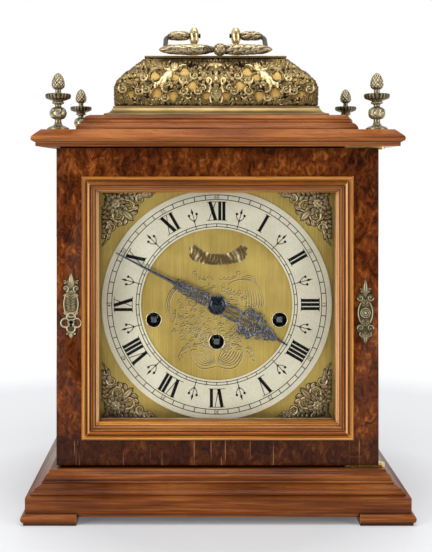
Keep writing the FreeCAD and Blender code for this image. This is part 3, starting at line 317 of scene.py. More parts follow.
# Lighter edge wood: partly rubbed wear, partly a painted highlight on the beads and arrises.
honey_wear_and_highlight = straight_walnut("honey_wear_and_highlight_edge", (0.46, 0.19, 0.065), (0.66, 0.34, 0.135),
                             (0.84, 0.55, 0.30))
warm_walnut = straight_walnut("warm_walnut", (0.045, 0.010, 0.002), (0.210, 0.058, 0.010),
                              (0.45, 0.160, 0.036))
side_walnut = straight_walnut("side_walnut", (0.060, 0.014, 0.004), (0.18, 0.05, 0.015),
                              (0.36, 0.13, 0.045), "Object")
plain_wood = straight_walnut("plain_inner_wood", (0.20, 0.11, 0.05), (0.34, 0.21, 0.11),
                             (0.48, 0.33, 0.19), "Object", 0.6, 0.0)

# %% [markdown]
# The door is faced with burr walnut: no straight grain at all, but clouds of dark and orange
# figure with small eyes, drawn out a little upwards. Its polish is deep, and old veneer shrinks,
# so a few hair-fine pale cracks run up the bottom rail, which is darker than the rest.

# %% Burr walnut veneer
def burr_walnut():
    material, tree, base = shader("burr_walnut")
    place = spot(tree, "Object", (1.0, 1.0, 0.62))
    clouds = noise(tree, place, 26, 6, 0.62, 1.6)
    curls = noise(tree, place, 165, 6, 0.68, 1.1)
    fine = noise(tree, place, 700, 3, 0.7)
    wide = level(tree, clouds, 0.0, 1.0, 0.15, 0.75)
    both = reckon(tree, "MULTIPLY_ADD", curls, 1.25, wide)
    tone = ramp(tree, level(tree, both, 0.76, 1.38), (0.0, (0.012, 0.003, 0.001)),
                (0.28, (0.048, 0.010, 0.002)), (0.60, (0.128, 0.028, 0.004)), (1.0, (0.38, 0.120, 0.020)))
    speck = level(tree, fine, 0.56, 0.72, 0.0, 0.55)
    tone = blend(tree, speck, tone, (0.022, 0.005, 0.002))
    eyes = put(tree, "TexVoronoi", {"Vector": place, "Scale": 95, "Randomness": 1.0}).outputs["Distance"]
    eye = level(tree, eyes, 0.10, 0.02, 0.0, 0.6)
    tone = blend(tree, eye, tone, (0.028, 0.006, 0.002))
    cracks = noise(tree, spot(tree, "Object", (520, 1, 9)), 1.0, 2, 0.5)
    crack = level(tree, cracks, 0.675, 0.70)
    height = put(tree, "SeparateXYZ", {0: put(tree, "TexCoord").outputs["Object"]}).outputs["Z"]
    crack = reckon(tree, "MULTIPLY", crack, level(tree, height, 0.060, 0.056))
    tone = blend(tree, level(tree, height, 0.0645, 0.0585, 0.0, 0.62), tone, (0.016, 0.003, 0.001))
    tone = blend(tree, crack, tone, (0.30, 0.135, 0.055))
    tree.links.new(tone, base.inputs["Base Color"])
    tree.links.new(level(tree, curls, 0.3, 0.7, 0.22, 0.36), base.inputs["Roughness"])
    preset(base, Specular_IOR_Level=0.06, Coat_Weight=0.22, Coat_IOR=1.42, Coat_Roughness=0.08)
    bump(tree, base, curls, 0.10, 0.0002)
    return material


burr = burr_walnut()
burr_edge = straight_walnut("burr_worn_edge", (0.05, 0.012, 0.004), (0.12, 0.035, 0.012),
                            (0.24, 0.09, 0.035), "Object")

# %% [markdown]
# Cast and chased brass keeps its shine on the high places, where it is rubbed, and goes dark in
# the hollows. The raised work below stores its height at every corner of its mesh in an attribute
# called `relief`, and the material reads it: low is brown, high is bright. Plain sheet, steel and
# iron only have two shades, with a brushed grain that is drawn out one way.

# %% Brass and steel in several states
def chased_brass(name, hollow, body, rubbed, rough=0.34, low=0.10, high=0.75):
    material, tree, base = shader(name)
    relief = put(tree, "Attribute", attribute_name="relief").outputs["Fac"]
    dirt = noise(tree, spot(tree, "Object"), 420, 4, 0.6)
    both = reckon(tree, "MULTIPLY_ADD", dirt, 0.5, relief)
    tone = ramp(tree, level(tree, both, low + 0.25, high + 0.25), (0.0, hollow), (0.45, body), (1.0, rubbed))
    tree.links.new(tone, base.inputs["Base Color"])
    preset(base, Metallic=0.85)
    tree.links.new(level(tree, dirt, 0.3, 0.7, rough - 0.06, rough + 0.14), base.inputs["Roughness"])
    bump(tree, base, dirt, 0.25, 0.0002)
    return material


def plain_brass(name, dull, bright, rough=0.35, metal=0.9, where=(1, 1, 1), grain=300, depth=0.12):
    material, tree, base = shader(name)
    marks = noise(tree, spot(tree, "Object", where), grain, 5, 0.6)
    cloud = noise(tree, spot(tree, "Object"), 28, 3, 0.5)
    both = reckon(tree, "ADD", marks, cloud)
    tone = ramp(tree, level(tree, both, 0.75, 1.25), (0.0, dull), (1.0, bright))
    tree.links.new(tone, base.inputs["Base Color"])
    preset(base, Metallic=metal)
    tree.links.new(level(tree, marks, 0.3, 0.7, rough - 0.06, rough + 0.10), base.inputs["Roughness"])
    bump(tree, base, marks, depth, 0.0001)
    return material


gilt = chased_brass("gilt_repousse", (0.020, 0.012, 0.004), (0.19, 0.128, 0.044), (0.72, 0.58, 0.30),
                    0.34, 0.10, 0.95)
flange_brass = plain_brass("flange_brass", (0.15, 0.100, 0.038), (0.31, 0.215, 0.088),
                           0.36, 0.85, (0.3, 0.3, 6), 120)
dial_brass = plain_brass("brushed_dial_brass", (0.37, 0.262, 0.058), (0.61, 0.450, 0.125),
                         0.42, 0.84, (9, 1, 0.12), 210, 0.3)
silvered = plain_brass("silvered_brass", (0.61, 0.575, 0.425), (0.77, 0.73, 0.565),
                       0.42, 0.35, grain=900, depth=0.1)
works_brass = plain_brass("movement_brass", (0.60, 0.42, 0.14), (0.86, 0.66, 0.30),
                          0.28, 1.0, (4, 1, 1), 160)
steel = plain_brass("bright_steel", (0.40, 0.40, 0.41), (0.62, 0.62, 0.62), 0.30, 1.0, (1, 3, 1))
# Dark oiled steel for the winding squares, darkened further as painted shade inside the winding holes.
oiled_steel_in_shade = plain_brass("oiled_steel_in_shade", (0.030, 0.030, 0.032), (0.16, 0.16, 0.16), 0.2)
# Painted shade: the front plate is coloured nearly black, for the dark well seen through the winding holes.
front_plate_shade = plain_brass("front_plate_painted_shade", (0.010, 0.007, 0.003), (0.026, 0.018, 0.008),
                         0.7, 0.4, (4, 1, 1), 160)
iron = plain_brass("black_iron", (0.020, 0.020, 0.020), (0.05, 0.05, 0.05), 0.55, 0.4, grain=200)


# %% [markdown]
# Three small finishes are left. The wax in the engraving is nearly black and hardly shines. The
# lining of the basket is a plain weave, two crossed waves of thread. Thin old glass is almost
# clear, so it is a dark gloss at a very low alpha, which lays no grey veil over what is behind it.

# %% Wax, cloth and glass
def wax_black():
    material, tree, base = shader("black_wax")
    worn = noise(tree, spot(tree, "Object"), 600, 3, 0.5)
    tone = ramp(tree, worn, (0.3, (0.002, 0.002, 0.002)), (0.8, (0.010, 0.009, 0.008)))
    tree.links.new(tone, base.inputs["Base Color"])
    preset(base, Roughness=0.45, Specular_IOR_Level=0.08)
    return material


def lining_cloth():
    material, tree, base = shader("lining_cloth")
    threads = [put(tree, "TexWave", {"Vector": spot(tree, "Object"), "Scale": 550.0}, bands_direction=way)
               .outputs["Fac"] for way in "XZ"]
    weave = reckon(tree, "MULTIPLY", *threads)
    tone = ramp(tree, weave, (0.0, (0.42, 0.24, 0.045)), (1.0, (0.84, 0.56, 0.15)))
    tree.links.new(tone, base.inputs["Base Color"])
    preset(base, Roughness=0.8, Sheen_Weight=0.3)
    bump(tree, base, weave, 0.4, 0.0002)
    return material


def window_glass():
    material, tree, base = shader("window_glass")
    faint = noise(tree, spot(tree, "Object"), 9, 2, 0.5)
    tone = ramp(tree, faint, (0.3, (0.045, 0.055, 0.050)), (0.7, (0.060, 0.070, 0.065)))
    tree.links.new(tone, base.inputs["Base Color"])
    preset(base, Roughness=0.04, Alpha=0.022)
    bump(tree, base, faint, 0.03, 0.0005)
    return material


wax = wax_black()
cloth = lining_cloth()
glass = window_glass()

# %% [markdown]
# Most wooden pieces only need softer edges. A copy of the plain solid is merged, its flat faces
# are dissolved into whole ones, and a narrow bevel gets its own lighter material. That lighter
# arris is partly rubbed wear and partly a painted highlight, where the edges of the real case catch the
# light.

# %% Dressing a plain solid
def copy_of(node, name):
    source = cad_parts[node]
    piece = bpy.data.objects.new(name, source.data.copy())
    bpy.context.scene.collection.objects.link(piece)
    only(piece)
    bpy.ops.object.mode_set(mode="EDIT")
    bpy.ops.mesh.select_all(action="SELECT")
    bpy.ops.mesh.remove_doubles(threshold=0.000002)
    bpy.ops.mesh.dissolve_limited(angle_limit=math.radians(0.4))
    bpy.ops.object.mode_set(mode="OBJECT")
    return piece


def soften(piece, width, segments=2, angle=28, material=-1):
    only(piece)
    edge = piece.modifiers.new("soft edges", "BEVEL")
    edge.width = width * MM
    edge.segments = segments
    edge.limit_method = "ANGLE"
    edge.angle_limit = math.radians(angle)
    edge.material = material
    edge.use_clamp_overlap = True
    bpy.ops.object.modifier_apply(modifier=edge.name)
    smooth(piece, 38)


def mitre_uv(piece, front, half_width):
    # The longest way out of the case decides which length a face belongs to.
    layer = piece.data.uv_layers.new(name="grain")
    for face in piece.data.polygons:
        out_x = abs(face.center.x) - half_width
        out_y = front - face.center.y
        sideways = out_x > out_y
        for loop in face.loop_indices:
            co = piece.data.vertices[piece.data.loops[loop].vertex_index].co
            across = co.z + (abs(co.x) if sideways else -co.y) * 0.7
            along = co.y + 0.37 * (1 if co.x > 0 else 2) if sideways else co.x
            layer.data[loop].uv = (along, across)


def dressed(node, body, slot, width, materials, front=None, half_width=None):
    piece = copy_of(node, node + "_finished")
    paint(piece, *materials)
    soften(piece, width, material=1 if len(materials) > 1 else -1)
    if front is not None:
        mitre_uv(piece, front, half_width)
    return fit(piece, body, slot, node)


# %% [markdown]
# The base and the cornice wear the straight walnut with rubbed edges that carry a painted highlight,
# its grain mitred at the corners. The caddy stands back from the door, so its mitres do too. The
# sides have upright grain, and the door is faced with burr.

# %% Case timber
CASE_HALF = 126 * MM
CADDY_INSET = 13.4 * MM
wood = (warm_walnut, walnut_wear_and_highlight)
dressed("base_moulding", "case", "walnut", 0.45, (walnut, walnut_wear_and_highlight), door_plane, CASE_HALF)
for node in ("cornice_board", "foot_front_left", "foot_front_right", "foot_rear_left", "foot_rear_right"):
    dressed(node, "case", "walnut", 0.45, wood, door_plane, CASE_HALF)
dressed("caddy_board", "case", "walnut", 0.35, wood, door_plane + CADDY_INSET, CASE_HALF - CADDY_INSET)
for node in ("side_panel_left", "side_panel_right"):
    dressed(node, "case", "walnut", 0.4, (side_walnut, burr_edge))
dressed("door_frame", "front_door", "burr_walnut", 0.9, (burr, burr_edge))
print("case timber dressed")

# %% [markdown]
# The boards inside and the movement are plain shapes, mostly hidden, so they keep their solids and
# only get a finish. The same goes for the flat faces of the dial, the glass and the lining.

# %% Inner timber and works keep their solids
def recolour(material, *nodes):
    for node in nodes:
        paint(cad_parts[node], material)


recolour(plain_wood, "base_board", "back_frame", "dial_mask", "seat_board", "rear_door", "glass_beads")
recolour(works_brass, "case_hinge_leaves", "door_hinge_leaves", "rear_door_hinges", "rear_door_leaves",
         "lock_strike", "door_lock", "rear_turn_button", "back_plate", "plate_pillars",
         "going_barrel", "strike_barrel", "chime_barrel", "centre_wheel", "minute_wheel",
         "hour_wheel", "pendulum")
recolour(steel, "cannon_pinion", "lock_cam", "hammers")
recolour(oiled_steel_in_shade, "going_winding_arbor", "strike_winding_arbor", "chime_winding_arbor")
for material, node in ((front_plate_shade, "front_plate"), (iron, "gong_rods"), (cloth, "basket_lining"),
                       (glass, "door_glass"), (dial_brass, "dial_plate"), (silvered, "chapter_ring")):
    recolour(material, node)

# %% [markdown]
# The moulding round the glass is lighter, honey-coloured wood. Each of its four lengths keeps its
# own grain, so the copy is given a grain map by the same rule of the longest way out, this time
# measured from the outer edge. Each band of the profile gets a shade of its own: painted shade in the
# grooves and hollow bands, and on the beads and arrises a lighter wood that is partly rubbed wear and
# partly painted highlight. The upright lengths, which catch more light, also get the painted highlight
# on their inner bead and ridge.

# %% Door moulding
moulding = copy_of("door_moulding", "door_moulding_finished")
paint(moulding, honey, honey_wear_and_highlight, honey_shaded_band, groove_shade_honey)
soften(moulding, 0.22, material=1)
low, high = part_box("door_moulding")
mid_z = (low.z + high.z) / 2
MOULDING_WIDE = 12.7
# From the glass outwards: how far each band reaches, and which of the four materials it has: plain,
# worn with a painted highlight, painted shade, or the darker painted shade of a groove. The first row
# is for the upright lengths.
BANDS = {True: ((1.6, 1), (2.75, 2), (3.05, 3), (5.35, 2), (5.95, 3), (6.7, 2), (7.7, 1), (8.45, 0),
                (9.05, 3), (99, 0)),
         False: ((1.6, 0), (2.75, 2), (3.05, 3), (5.35, 2), (5.95, 3), (8.45, 2), (9.05, 3), (99, 0))}
layer = moulding.data.uv_layers.new(name="grain")
for face in moulding.data.polygons:
    out_x = abs(face.center.x) - high.x
    out_z = abs(face.center.z - mid_z) - (high.z - mid_z)
    upright = out_x > out_z
    if face.material_index == 0:
        outwards = (out_x if upright else out_z) / MM + MOULDING_WIDE
        face.material_index = next(kind for edge, kind in BANDS[upright] if outwards < edge)
    for loop in face.loop_indices:
        co = moulding.data.vertices[moulding.data.loops[loop].vertex_index].co
        if upright:
            layer.data[loop].uv = (co.z + (0.6 if co.x > 0 else 1.1), abs(co.x) - co.y)
        else:
            layer.data[loop].uv = (co.x + (0.2 if co.z > mid_z else 1.7), abs(co.z - mid_z) - co.y)
fit(moulding, "front_door", "moulding_walnut", "door_moulding")

# %% [markdown]
# The chapter ring is engraved, and the cuts are filled with black wax. All of that is drawn here as
# thin flat inlays a few hundredths of a millimetre proud of the silvered face. Drawing is done in
# millimetres from the centre of the dial, and a list of small polygons becomes one mesh.

# %% Drawing tools for the dial
ring_low, ring_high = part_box("chapter_ring")
centre = ((ring_low.x + ring_high.x) / 2, (ring_low.z + ring_high.z) / 2)
ring_face = ring_low.y
dial_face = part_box("dial_plate")[0].y


def turned_by(points, angle):
    # Clockwise as seen from the front.
    c, s = math.cos(math.radians(angle)), math.sin(math.radians(angle))
    return [(x * c + z * s, z * c - x * s) for x, z in points]


def sided(points, side):
    # The same points, mirrored left and right where side is -1.
    return [(side * x, z) for x, z in points]


def arc(radius, start, end, steps, cx=0.0, cz=0.0):
    angles = [math.radians(start + (end - start) * i / steps) for i in range(steps + 1)]
    return [(cx + radius * math.sin(a), cz + radius * math.cos(a)) for a in angles]


def stroke(points, start_width, end_width=None):
    # A line of given widths as a row of four-sided pieces.
    end_width = start_width if end_width is None else end_width
    left, right = [], []
    for i, (x, z) in enumerate(points):
        x0, z0 = points[max(i - 1, 0)]
        x1, z1 = points[min(i + 1, len(points) - 1)]
        long = math.hypot(x1 - x0, z1 - z0) or 1.0
        half = (start_width + (end_width - start_width) * i / (len(points) - 1)) / 2
        nx, nz = -(z1 - z0) / long * half, (x1 - x0) / long * half
        left.append((x + nx, z + nz))
        right.append((x - nx, z - nz))
    return [[left[i], left[i + 1], right[i + 1], right[i]] for i in range(len(points) - 1)]


def disc(cx, cz, radius, steps=14):
    return [arc(radius, 0, 360, steps, cx, cz)[:-1]]


def inlay(name, polygons, face, material, slot, body="case"):
    corners, faces = [], []
    for polygon in polygons:
        area = sum(a[0] * b[1] - b[0] * a[1] for a, b in zip(polygon, polygon[1:] + polygon[:1]))
        ordered = polygon if area > 0 else polygon[::-1]
        faces.append(list(range(len(corners), len(corners) + len(ordered))))
        corners += [(centre[0] + x * MM, face, centre[1] + z * MM) for x, z in ordered]
    piece = new_mesh(name, corners, faces)
    paint(piece, material)
    return fit(piece, body, slot)


# %% [markdown]
# Outside, a minute track runs between two fine circles, with the minutes 5 to 60 written inside
# it. Inside, another pair of circles is divided into quarter hours. The Roman figures stand
# radially between them, with their feet to the centre and four strokes for IIII.

# %% Tracks, Roman figures and half-hour marks
TRACK_OUT, TRACK_IN = 88.6, 84.8
QUARTER_OUT, QUARTER_IN = 65.2, 62.9
FIGURE_LOW, FIGURE_HIGH = 68.1, 83.2
ink = []
for radius in (TRACK_OUT, TRACK_IN, QUARTER_OUT, QUARTER_IN):
    ink += stroke(arc(radius, 0, 360, 180), 0.60)
for minute in range(60):
    if minute % 5:
        ink += stroke(turned_by([(0, TRACK_IN), (0, TRACK_OUT)], minute * 6), 0.64)
for quarter in range(48):
    ink += stroke(turned_by([(0, QUARTER_IN), (0, QUARTER_OUT)], quarter * 7.5), 0.60)


def roman(letters):
    wide = {"I": 3.3, "V": 8.6, "X": 8.2}
    total = sum(wide[letter] for letter in letters)
    u = -total / 2  # the left edge of the next letter
    parts = []
    for letter in letters:
        w = wide[letter]
        mid = u + w / 2
        if letter == "I":
            parts += stroke([(mid, FIGURE_LOW), (mid, FIGURE_HIGH)], 2.55)
        if letter == "V":
            parts += stroke([(u + 1.6, FIGURE_HIGH), (mid, FIGURE_LOW)], 2.7)
            parts += stroke([(u + w - 1.2, FIGURE_HIGH), (mid + 0.2, FIGURE_LOW)], 0.6)
        if letter == "X":
            parts += stroke([(u + 1.7, FIGURE_HIGH), (u + w - 1.7, FIGURE_LOW)], 2.8)
            parts += stroke([(u + w - 1.5, FIGURE_HIGH), (u + 1.0, FIGURE_LOW)], 0.6)
        u += w
    for radius in (FIGURE_LOW + 0.2, FIGURE_HIGH - 0.2):
        half = math.degrees((total / 2 + 0.7) / radius)
        if letters.endswith("V") and radius < FIGURE_HIGH - 1:
            parts += stroke(arc(radius, -half, half - math.degrees(3.6 / radius), 6), 0.5)
        else:
            parts += stroke(arc(radius, -half, half, 8), 0.5)
    return parts


for hour, letters in enumerate("XII I II III IIII V VI VII VIII IX X XI".split()):
    for polygon in roman(letters):
        ink.append(turned_by(polygon, hour * 30))


def half_hour_mark():
    parts = stroke([(0, QUARTER_OUT), (0, 69.6)], 0.5, 0.8)
    parts += stroke([(-0.9, 69.2), (0, 70.6), (0.9, 69.2)], 0.6)
    parts += stroke([(0, 69.8), (0.1, 76.5)], 0.58)
    parts.append([(0, 80.4), (-0.95, 76.6), (0, 74.4), (0.95, 76.6)])
    for side in (-1, 1):
        parts += stroke([(0, 69.6), (side * 1.9, 71.0), (side * 3.0, 72.8), (side * 3.1, 74.2)], 0.62)
        parts += disc(side * 3.2, 74.9, 1.05)
    return parts


for index in range(12):
    for polygon in half_hour_mark():
        ink.append(turned_by(polygon, 15 + index * 30))
inlay("dial_markings", ink, ring_face - 0.05 * MM, wax, "silvered_brass")

UPRIGHT = math.radians(90)
numbers = []
for index in range(1, 13):
    angle = index * 30
    x, z = turned_by([(0, (TRACK_OUT + TRACK_IN) / 2)], angle)[0]
    place = (centre[0] + x * MM, ring_face - 0.05 * MM, centre[1] + z * MM)
    bpy.ops.object.text_add(location=place, rotation=(UPRIGHT, math.radians(angle), 0))
    number = bpy.context.object
    number.data.body = str(index * 5)
    number.data.size = 4.3 * MM
    number.data.align_x = "CENTER"
    number.data.align_y = "CENTER"
    number.data.resolution_u = 3
    only(number)
    bpy.ops.object.convert(target="MESH")
    numbers.append(bpy.context.object)
numbers = join("minute_numbers", numbers)
paint(numbers, wax)
fit(numbers, "case", "silvered_brass")
print("ring drawn with", len(ink), "strokes of wax")

# %% [markdown]
# The middle of the dial is brushed brass with light engraving: scrolls, two fans and a shell. Every
# line is drawn twice as flat strips: once dark, as painted shade in the cut, and once bright, as a
# painted highlight on the lip that a graver throws up beside it. The bright one lies up to 0.6 mm to
# the side that the light falls on.

# %% Engraving in the middle of the dial
def swirl(cx, cz, outer, inner, start, sweep, steps=18):
    spots = []
    for i in range(steps + 1):
        t = i / steps
        a = math.radians(start + sweep * t)
        r = outer + (inner - outer) * t
        spots.append((cx + r * math.sin(a), cz + r * math.cos(a)))
    return spots


def bow(x0, z0, x1, z1, bend, steps=10):
    # A shallow curve between two points, pushed sideways by bend.
    long = math.hypot(x1 - x0, z1 - z0) or 1.0
    spots = []
    for i in range(steps + 1):
        t = i / steps
        push = bend * math.sin(math.pi * t) / long
        spots.append((x0 + (x1 - x0) * t - (z1 - z0) * push, z0 + (z1 - z0) * t + (x1 - x0) * push))
    return spots


lines = []
for side in (-1, 1):
    lines.append(swirl(side * 18, 25, 2.2, 0.5, 200 * side, 420 * side))
    lines.append(bow(side * 16.5, 23.5, side * 9, 20, 1.2 * side))
    for step in range(4):
        lines.append(swirl(side * (3 + 3.6 * step), 20.5 + 0.6 * (step % 2), 1.7, 0.4, 90 * step, 300 * side))
        lines.append(swirl(side * (5 + 5 * step), 14.5 - 2.4 * step, 2.4, 0.5, 40 * step, 330 * side))
        lines.append(bow(side * (4 + 3 * step), 12 - 4 * step, side * (9 + 4 * step), 9 - 5 * step,
                         2.0 * side))
for gap in (0.0, 1.5, 2.7):
    lines.append(arc(20.5 - gap, 232 - gap, 318, 20, -20.5, -1.0))
lines.append(bow(-31, 12.5, -25, 7, -1.4))
lines.append(bow(-36, -15, -33, -4, -1.2))
lines.append(arc(17.5, -40, 105, 20, 20.5, 2.5))
for step in range(7):
    lines.append(bow(23 + 2.1 * step, 14 - 0.9 * step, 24 + 2.0 * step, -6 + 0.6 * step, 0.9))
for row in range(3):
    lines.append(arc(3.2 + 1.5 * row, -60, 100, 8, 26, 17))
for side in (-1, 1):
    lines.append(sided(bow(0.8, -50.5, 21.5, -38.5, -7.5, 16), side))
    lines.append(sided(bow(21.5, -38.5, 16.5, -37.0, -1.2, 6), side))
    for step in range(8):
        reach = 20.5 - 2.1 * step
        rib = bow(1.2, -48.0 + 0.4 * step, reach, -39.5 + 0.5 * step, -5.6 + 0.9 * step)
        lines.append(sided(rib, side))
    for step in range(3):
        lines.append(swirl(side * (25.5 + 2 * step), -38.5 - 3.4 * step, 2.1 - 0.4 * step, 0.4, 30,
                           320 * side))
        lines.append(bow(side * 24, -36, side * (28 + 1.5 * step), -36 - 3.5 * step, 1.4 * side))
    for step in range(9):
        angle = math.radians(100 + 17 * step)
        x, z = 27 * math.sin(angle) * side, 21 * math.cos(angle) - 9
        lines.append(swirl(x, z, 3.4 - 0.2 * (step % 3), 0.6, 50 * step, 340 * side))
        lines.append(swirl(x * 0.62, z * 0.66 - 7, 2.6, 0.5, 70 * step, -320 * side))
        lines.append(bow(x, z, x * 0.72, z * 0.8 - 6, 1.8 * side))
    for step in range(5):
        lines.append(bow(side * 3, -34 - step, side * (10 + 2 * step), -31 - 0.4 * step, 1.1 * side))
for index in range(90):
    # Small curls fill the middle of the engraving, spread evenly by the golden angle.
    angle, far = math.radians(index * 137.5), math.sqrt((index + 0.5) / 90)
    x, z = 37 * far * math.sin(angle), 27 * far * math.cos(angle) - 13
    if math.hypot(x, z) > 9 and math.hypot(x, z + 30.5) > 8.5:
        sweep = 300 if index % 2 else -260
        lines.append(swirl(x, z, 2.9 - 0.9 * (index % 3) / 2, 0.6, index * 71, sweep, 12))
        lines.append(bow(x - 2.4, z - 1.5, x + 2.6, z - 3.4 + 2 * (index % 2), 1.3, 6))


def beside(line, gap):
    # The same line again on its lit side, no further off where it runs with the light.
    moved = []
    for i, (x, z) in enumerate(line):
        x0, z0 = line[max(i - 1, 0)]
        x1, z1 = line[min(i + 1, len(line) - 1)]
        long = math.hypot(x1 - x0, z1 - z0) or 1.0
        nx, nz = -(z1 - z0) / long, (x1 - x0) / long
        lit = (0.5 * nx - 0.85 * nz) * gap
        moved.append((x + nx * lit, z + nz * lit))
    return moved


HOLE = 5.95
HOLE_SPOTS = ((-51.0, -12.7), (0.0, -30.5), (51.0, -12.7))


def off_the_holes(polygon):
    # The graver stops short of the winding holes.
    return all(math.hypot(x - cx, z - cz) > HOLE + 0.5 for x, z in polygon for cx, cz in HOLE_SPOTS)


cuts = [polygon for line in lines for polygon in stroke(line, 0.50, 0.78) if off_the_holes(polygon)]
lip_highlight_strips = [polygon for line in lines for polygon in stroke(beside(line, 0.60), 0.24, 0.36)
        if off_the_holes(polygon)]
# Painted shade: the dark strips stand for the shade inside the engraved cuts.
engraved_cut_shade = plain_brass("engraved_cut", (0.026, 0.012, 0.001), (0.070, 0.036, 0.005), 0.6, 0.0)
# Painted highlight: the bright strips stand for light caught on the lips of the cuts.
lip_highlight_brass = plain_brass("lip_highlight_brass", (0.58, 0.44, 0.16), (0.80, 0.67, 0.33), 0.3, 0.3)
inlay("engraved_cuts", cuts, dial_face - 0.03 * MM, engraved_cut_shade, "dial_brass")
inlay("engraving_highlight_strips", lip_highlight_strips, dial_face - 0.04 * MM, lip_highlight_brass, "dial_brass")
print("engraved lines:", len(lines))

# %% [markdown]
# Three winding holes have a thin turned lip each. A lip is a ring of bright brass with a round
# section, half sunk in the plate, so a torus at the hole's place is the whole shape.

# %% Winding hole rims
rims = []
for x, z in HOLE_SPOTS:
    place = (centre[0] + x * MM, dial_face, centre[1] + z * MM)
    bpy.ops.mesh.primitive_torus_add(location=place, rotation=(UPRIGHT, 0, 0),
                                     major_radius=(HOLE + 0.25) * MM, minor_radius=0.26 * MM,
                                     major_segments=56, minor_segments=8)
    rims.append(bpy.context.object)
rims = join("winding_hole_rims", rims)
rim_brass = plain_brass("bright_rim", (0.75, 0.66, 0.42), (0.95, 0.88, 0.66), 0.22, 0.9)
paint(rims, rim_brass)
smooth(rims, 60)
fit(rims, "case", "dial_brass")

# %% [markdown]
# Cast and chased ornament is made like a relief in clay: strokes are laid on a fine grid of
# points, each stroke a rounded ridge with its own width and height. A scroll is a tapering spiral,
# a leaf a swelling stroke with a groove down its middle, and a bead a small dome. The height of
# the finished relief is kept in the `relief` attribute that the brass material reads.

# %% Laying relief on a grid
class Relief:
    # Points (u, v) and heights, all in millimetres.
    def __init__(self, u, v):
        self.u, self.v = np.asarray(u, float), np.asarray(v, float)
        self.h = np.zeros(self.u.shape)

    def ridge(self, points, width, height, taper=0.3, vein=0.0, swell=False):
        # taper is the width that is left at the end; a swelling stroke is widest in its middle.
        points = np.asarray(points, float)
        reach = width + 0.2
        near = ((self.u > points[:, 0].min() - reach) & (self.u < points[:, 0].max() + reach)
                & (self.v > points[:, 1].min() - reach) & (self.v < points[:, 1].max() + reach))
        if not near.any():
            return
        u, v = self.u[near], self.v[near]
        best = np.full(u.shape, 9.0)
        tall = np.zeros(u.shape)
        count = len(points) - 1
        for i in range(count):
            (ax, az), (bx, bz) = points[i], points[i + 1]
            dx, dz = bx - ax, bz - az
            t = np.clip(((u - ax) * dx + (v - az) * dz) / (dx * dx + dz * dz + 1e-12), 0, 1)
            s = (i + t) / count
            size = np.sin(np.pi * (0.12 + 0.82 * s)) if swell else 1 + (taper - 1) * s
            half = width * size + 1e-6
            away = np.hypot(u - ax - t * dx, v - az - t * dz) / half
            closer = away < best
            best = np.where(closer, away, best)
            tall = np.where(closer, height * (0.45 + 0.55 * size), tall)
        shape = np.sqrt(np.clip(1 - best ** 2, 0, None))
        if vein:
            shape = shape * (1 - vein * np.exp(-(best / 0.22) ** 2))
        new = tall * shape
        self.h[near] = np.where(best < 1, np.maximum(self.h[near] * 0.55, new), self.h[near])

    def scroll(self, cx, cz, outer, start, sweep, width=1.0, height=1.6):
        self.ridge(swirl(cx, cz, outer, outer * 0.16, start, sweep, 16), width, height, 0.45)
        self.bead(cx, cz, width * 0.9, height * 1.05)

    def leaf(self, x0, z0, x1, z1, bend=0.0, width=1.8, height=1.5):
        self.ridge(bow(x0, z0, x1, z1, bend, 7), width, height, vein=0.5, swell=True)

    def bead(self, cx, cz, radius, height):
        away = np.hypot(self.u - cx, self.v - cz) / radius
        dome = height * np.sqrt(np.clip(1 - away ** 2, 0, None))
        self.h = np.where(away < 1, np.maximum(self.h * 0.5, dome), self.h)

    def oval(self, cx, cz, long, short, turn, height):
        c, s = math.cos(math.radians(turn)), math.sin(math.radians(turn))
        a = ((self.u - cx) * c + (self.v - cz) * s) / long
        b = ((self.v - cz) * c - (self.u - cx) * s) / short
        dome = height * np.sqrt(np.clip(1 - a * a - b * b, 0, None))
        self.h = np.maximum(self.h, dome)

    def rosette(self, cx, cz, radius, height=1.7, petals=6):
        for k in range(petals):
            a = 2 * math.pi * k / petals
            self.leaf(cx, cz, cx + radius * math.sin(a), cz + radius * math.cos(a), 0, radius * 0.30, height)
        self.bead(cx, cz, radius * 0.28, height * 1.15)


def grid(columns, rows):
    faces = []
    for j in range(rows - 1):
        for i in range(columns - 1):
            k = j * columns + i
            faces.append((k, k + 1, k + columns + 1, k + columns))
    return np.array(faces)


def tube(around, rows):
    # Like a grid, but its last column joins its first.
    faces = []
    for j in range(rows - 1):
        for i in range(around):
            k, n = j * around + i, j * around + (i + 1) % around
            faces.append((k, n, n + around, k + around))
    return np.array(faces)


def relief_mesh(name, corners, faces, height, top):
    used = np.unique(faces)
    renumber = np.full(len(corners), -1)
    renumber[used] = np.arange(len(used))
    piece = new_mesh(name, (np.asarray(corners)[used] * MM).tolist(), renumber[faces].tolist())
    store = piece.data.attributes.new("relief", "FLOAT", "POINT")
    store.data.foreach_set("value", np.clip(np.asarray(height)[used] / top, 0, 1).astype(np.float32))
    piece.data.polygons.foreach_set("use_smooth", [True] * len(piece.data.polygons))
    return piece


# %% [markdown]
# The four corner mounts of the dial are cast with scrolls round a small rosette. They are cut out
# to the edge of the ornament, so faces outside it are left away, and the same casting is mirrored
# for the other corners.

# %% Corner mounts of the dial
mount_low, mount_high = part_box("corner_spandrels")
CORNER_X = (mount_high.x - mount_low.x) / 2 / MM
CORNER_Z = (mount_high.z - mount_low.z) / 2 / MM
mount_centre = ((mount_low.x + mount_high.x) / 2 / MM, (mount_low.z + mount_high.z) / 2 / MM)
mount_thick = (mount_high.y - mount_low.y) / MM
LEG = 47.0
STEPS = 118


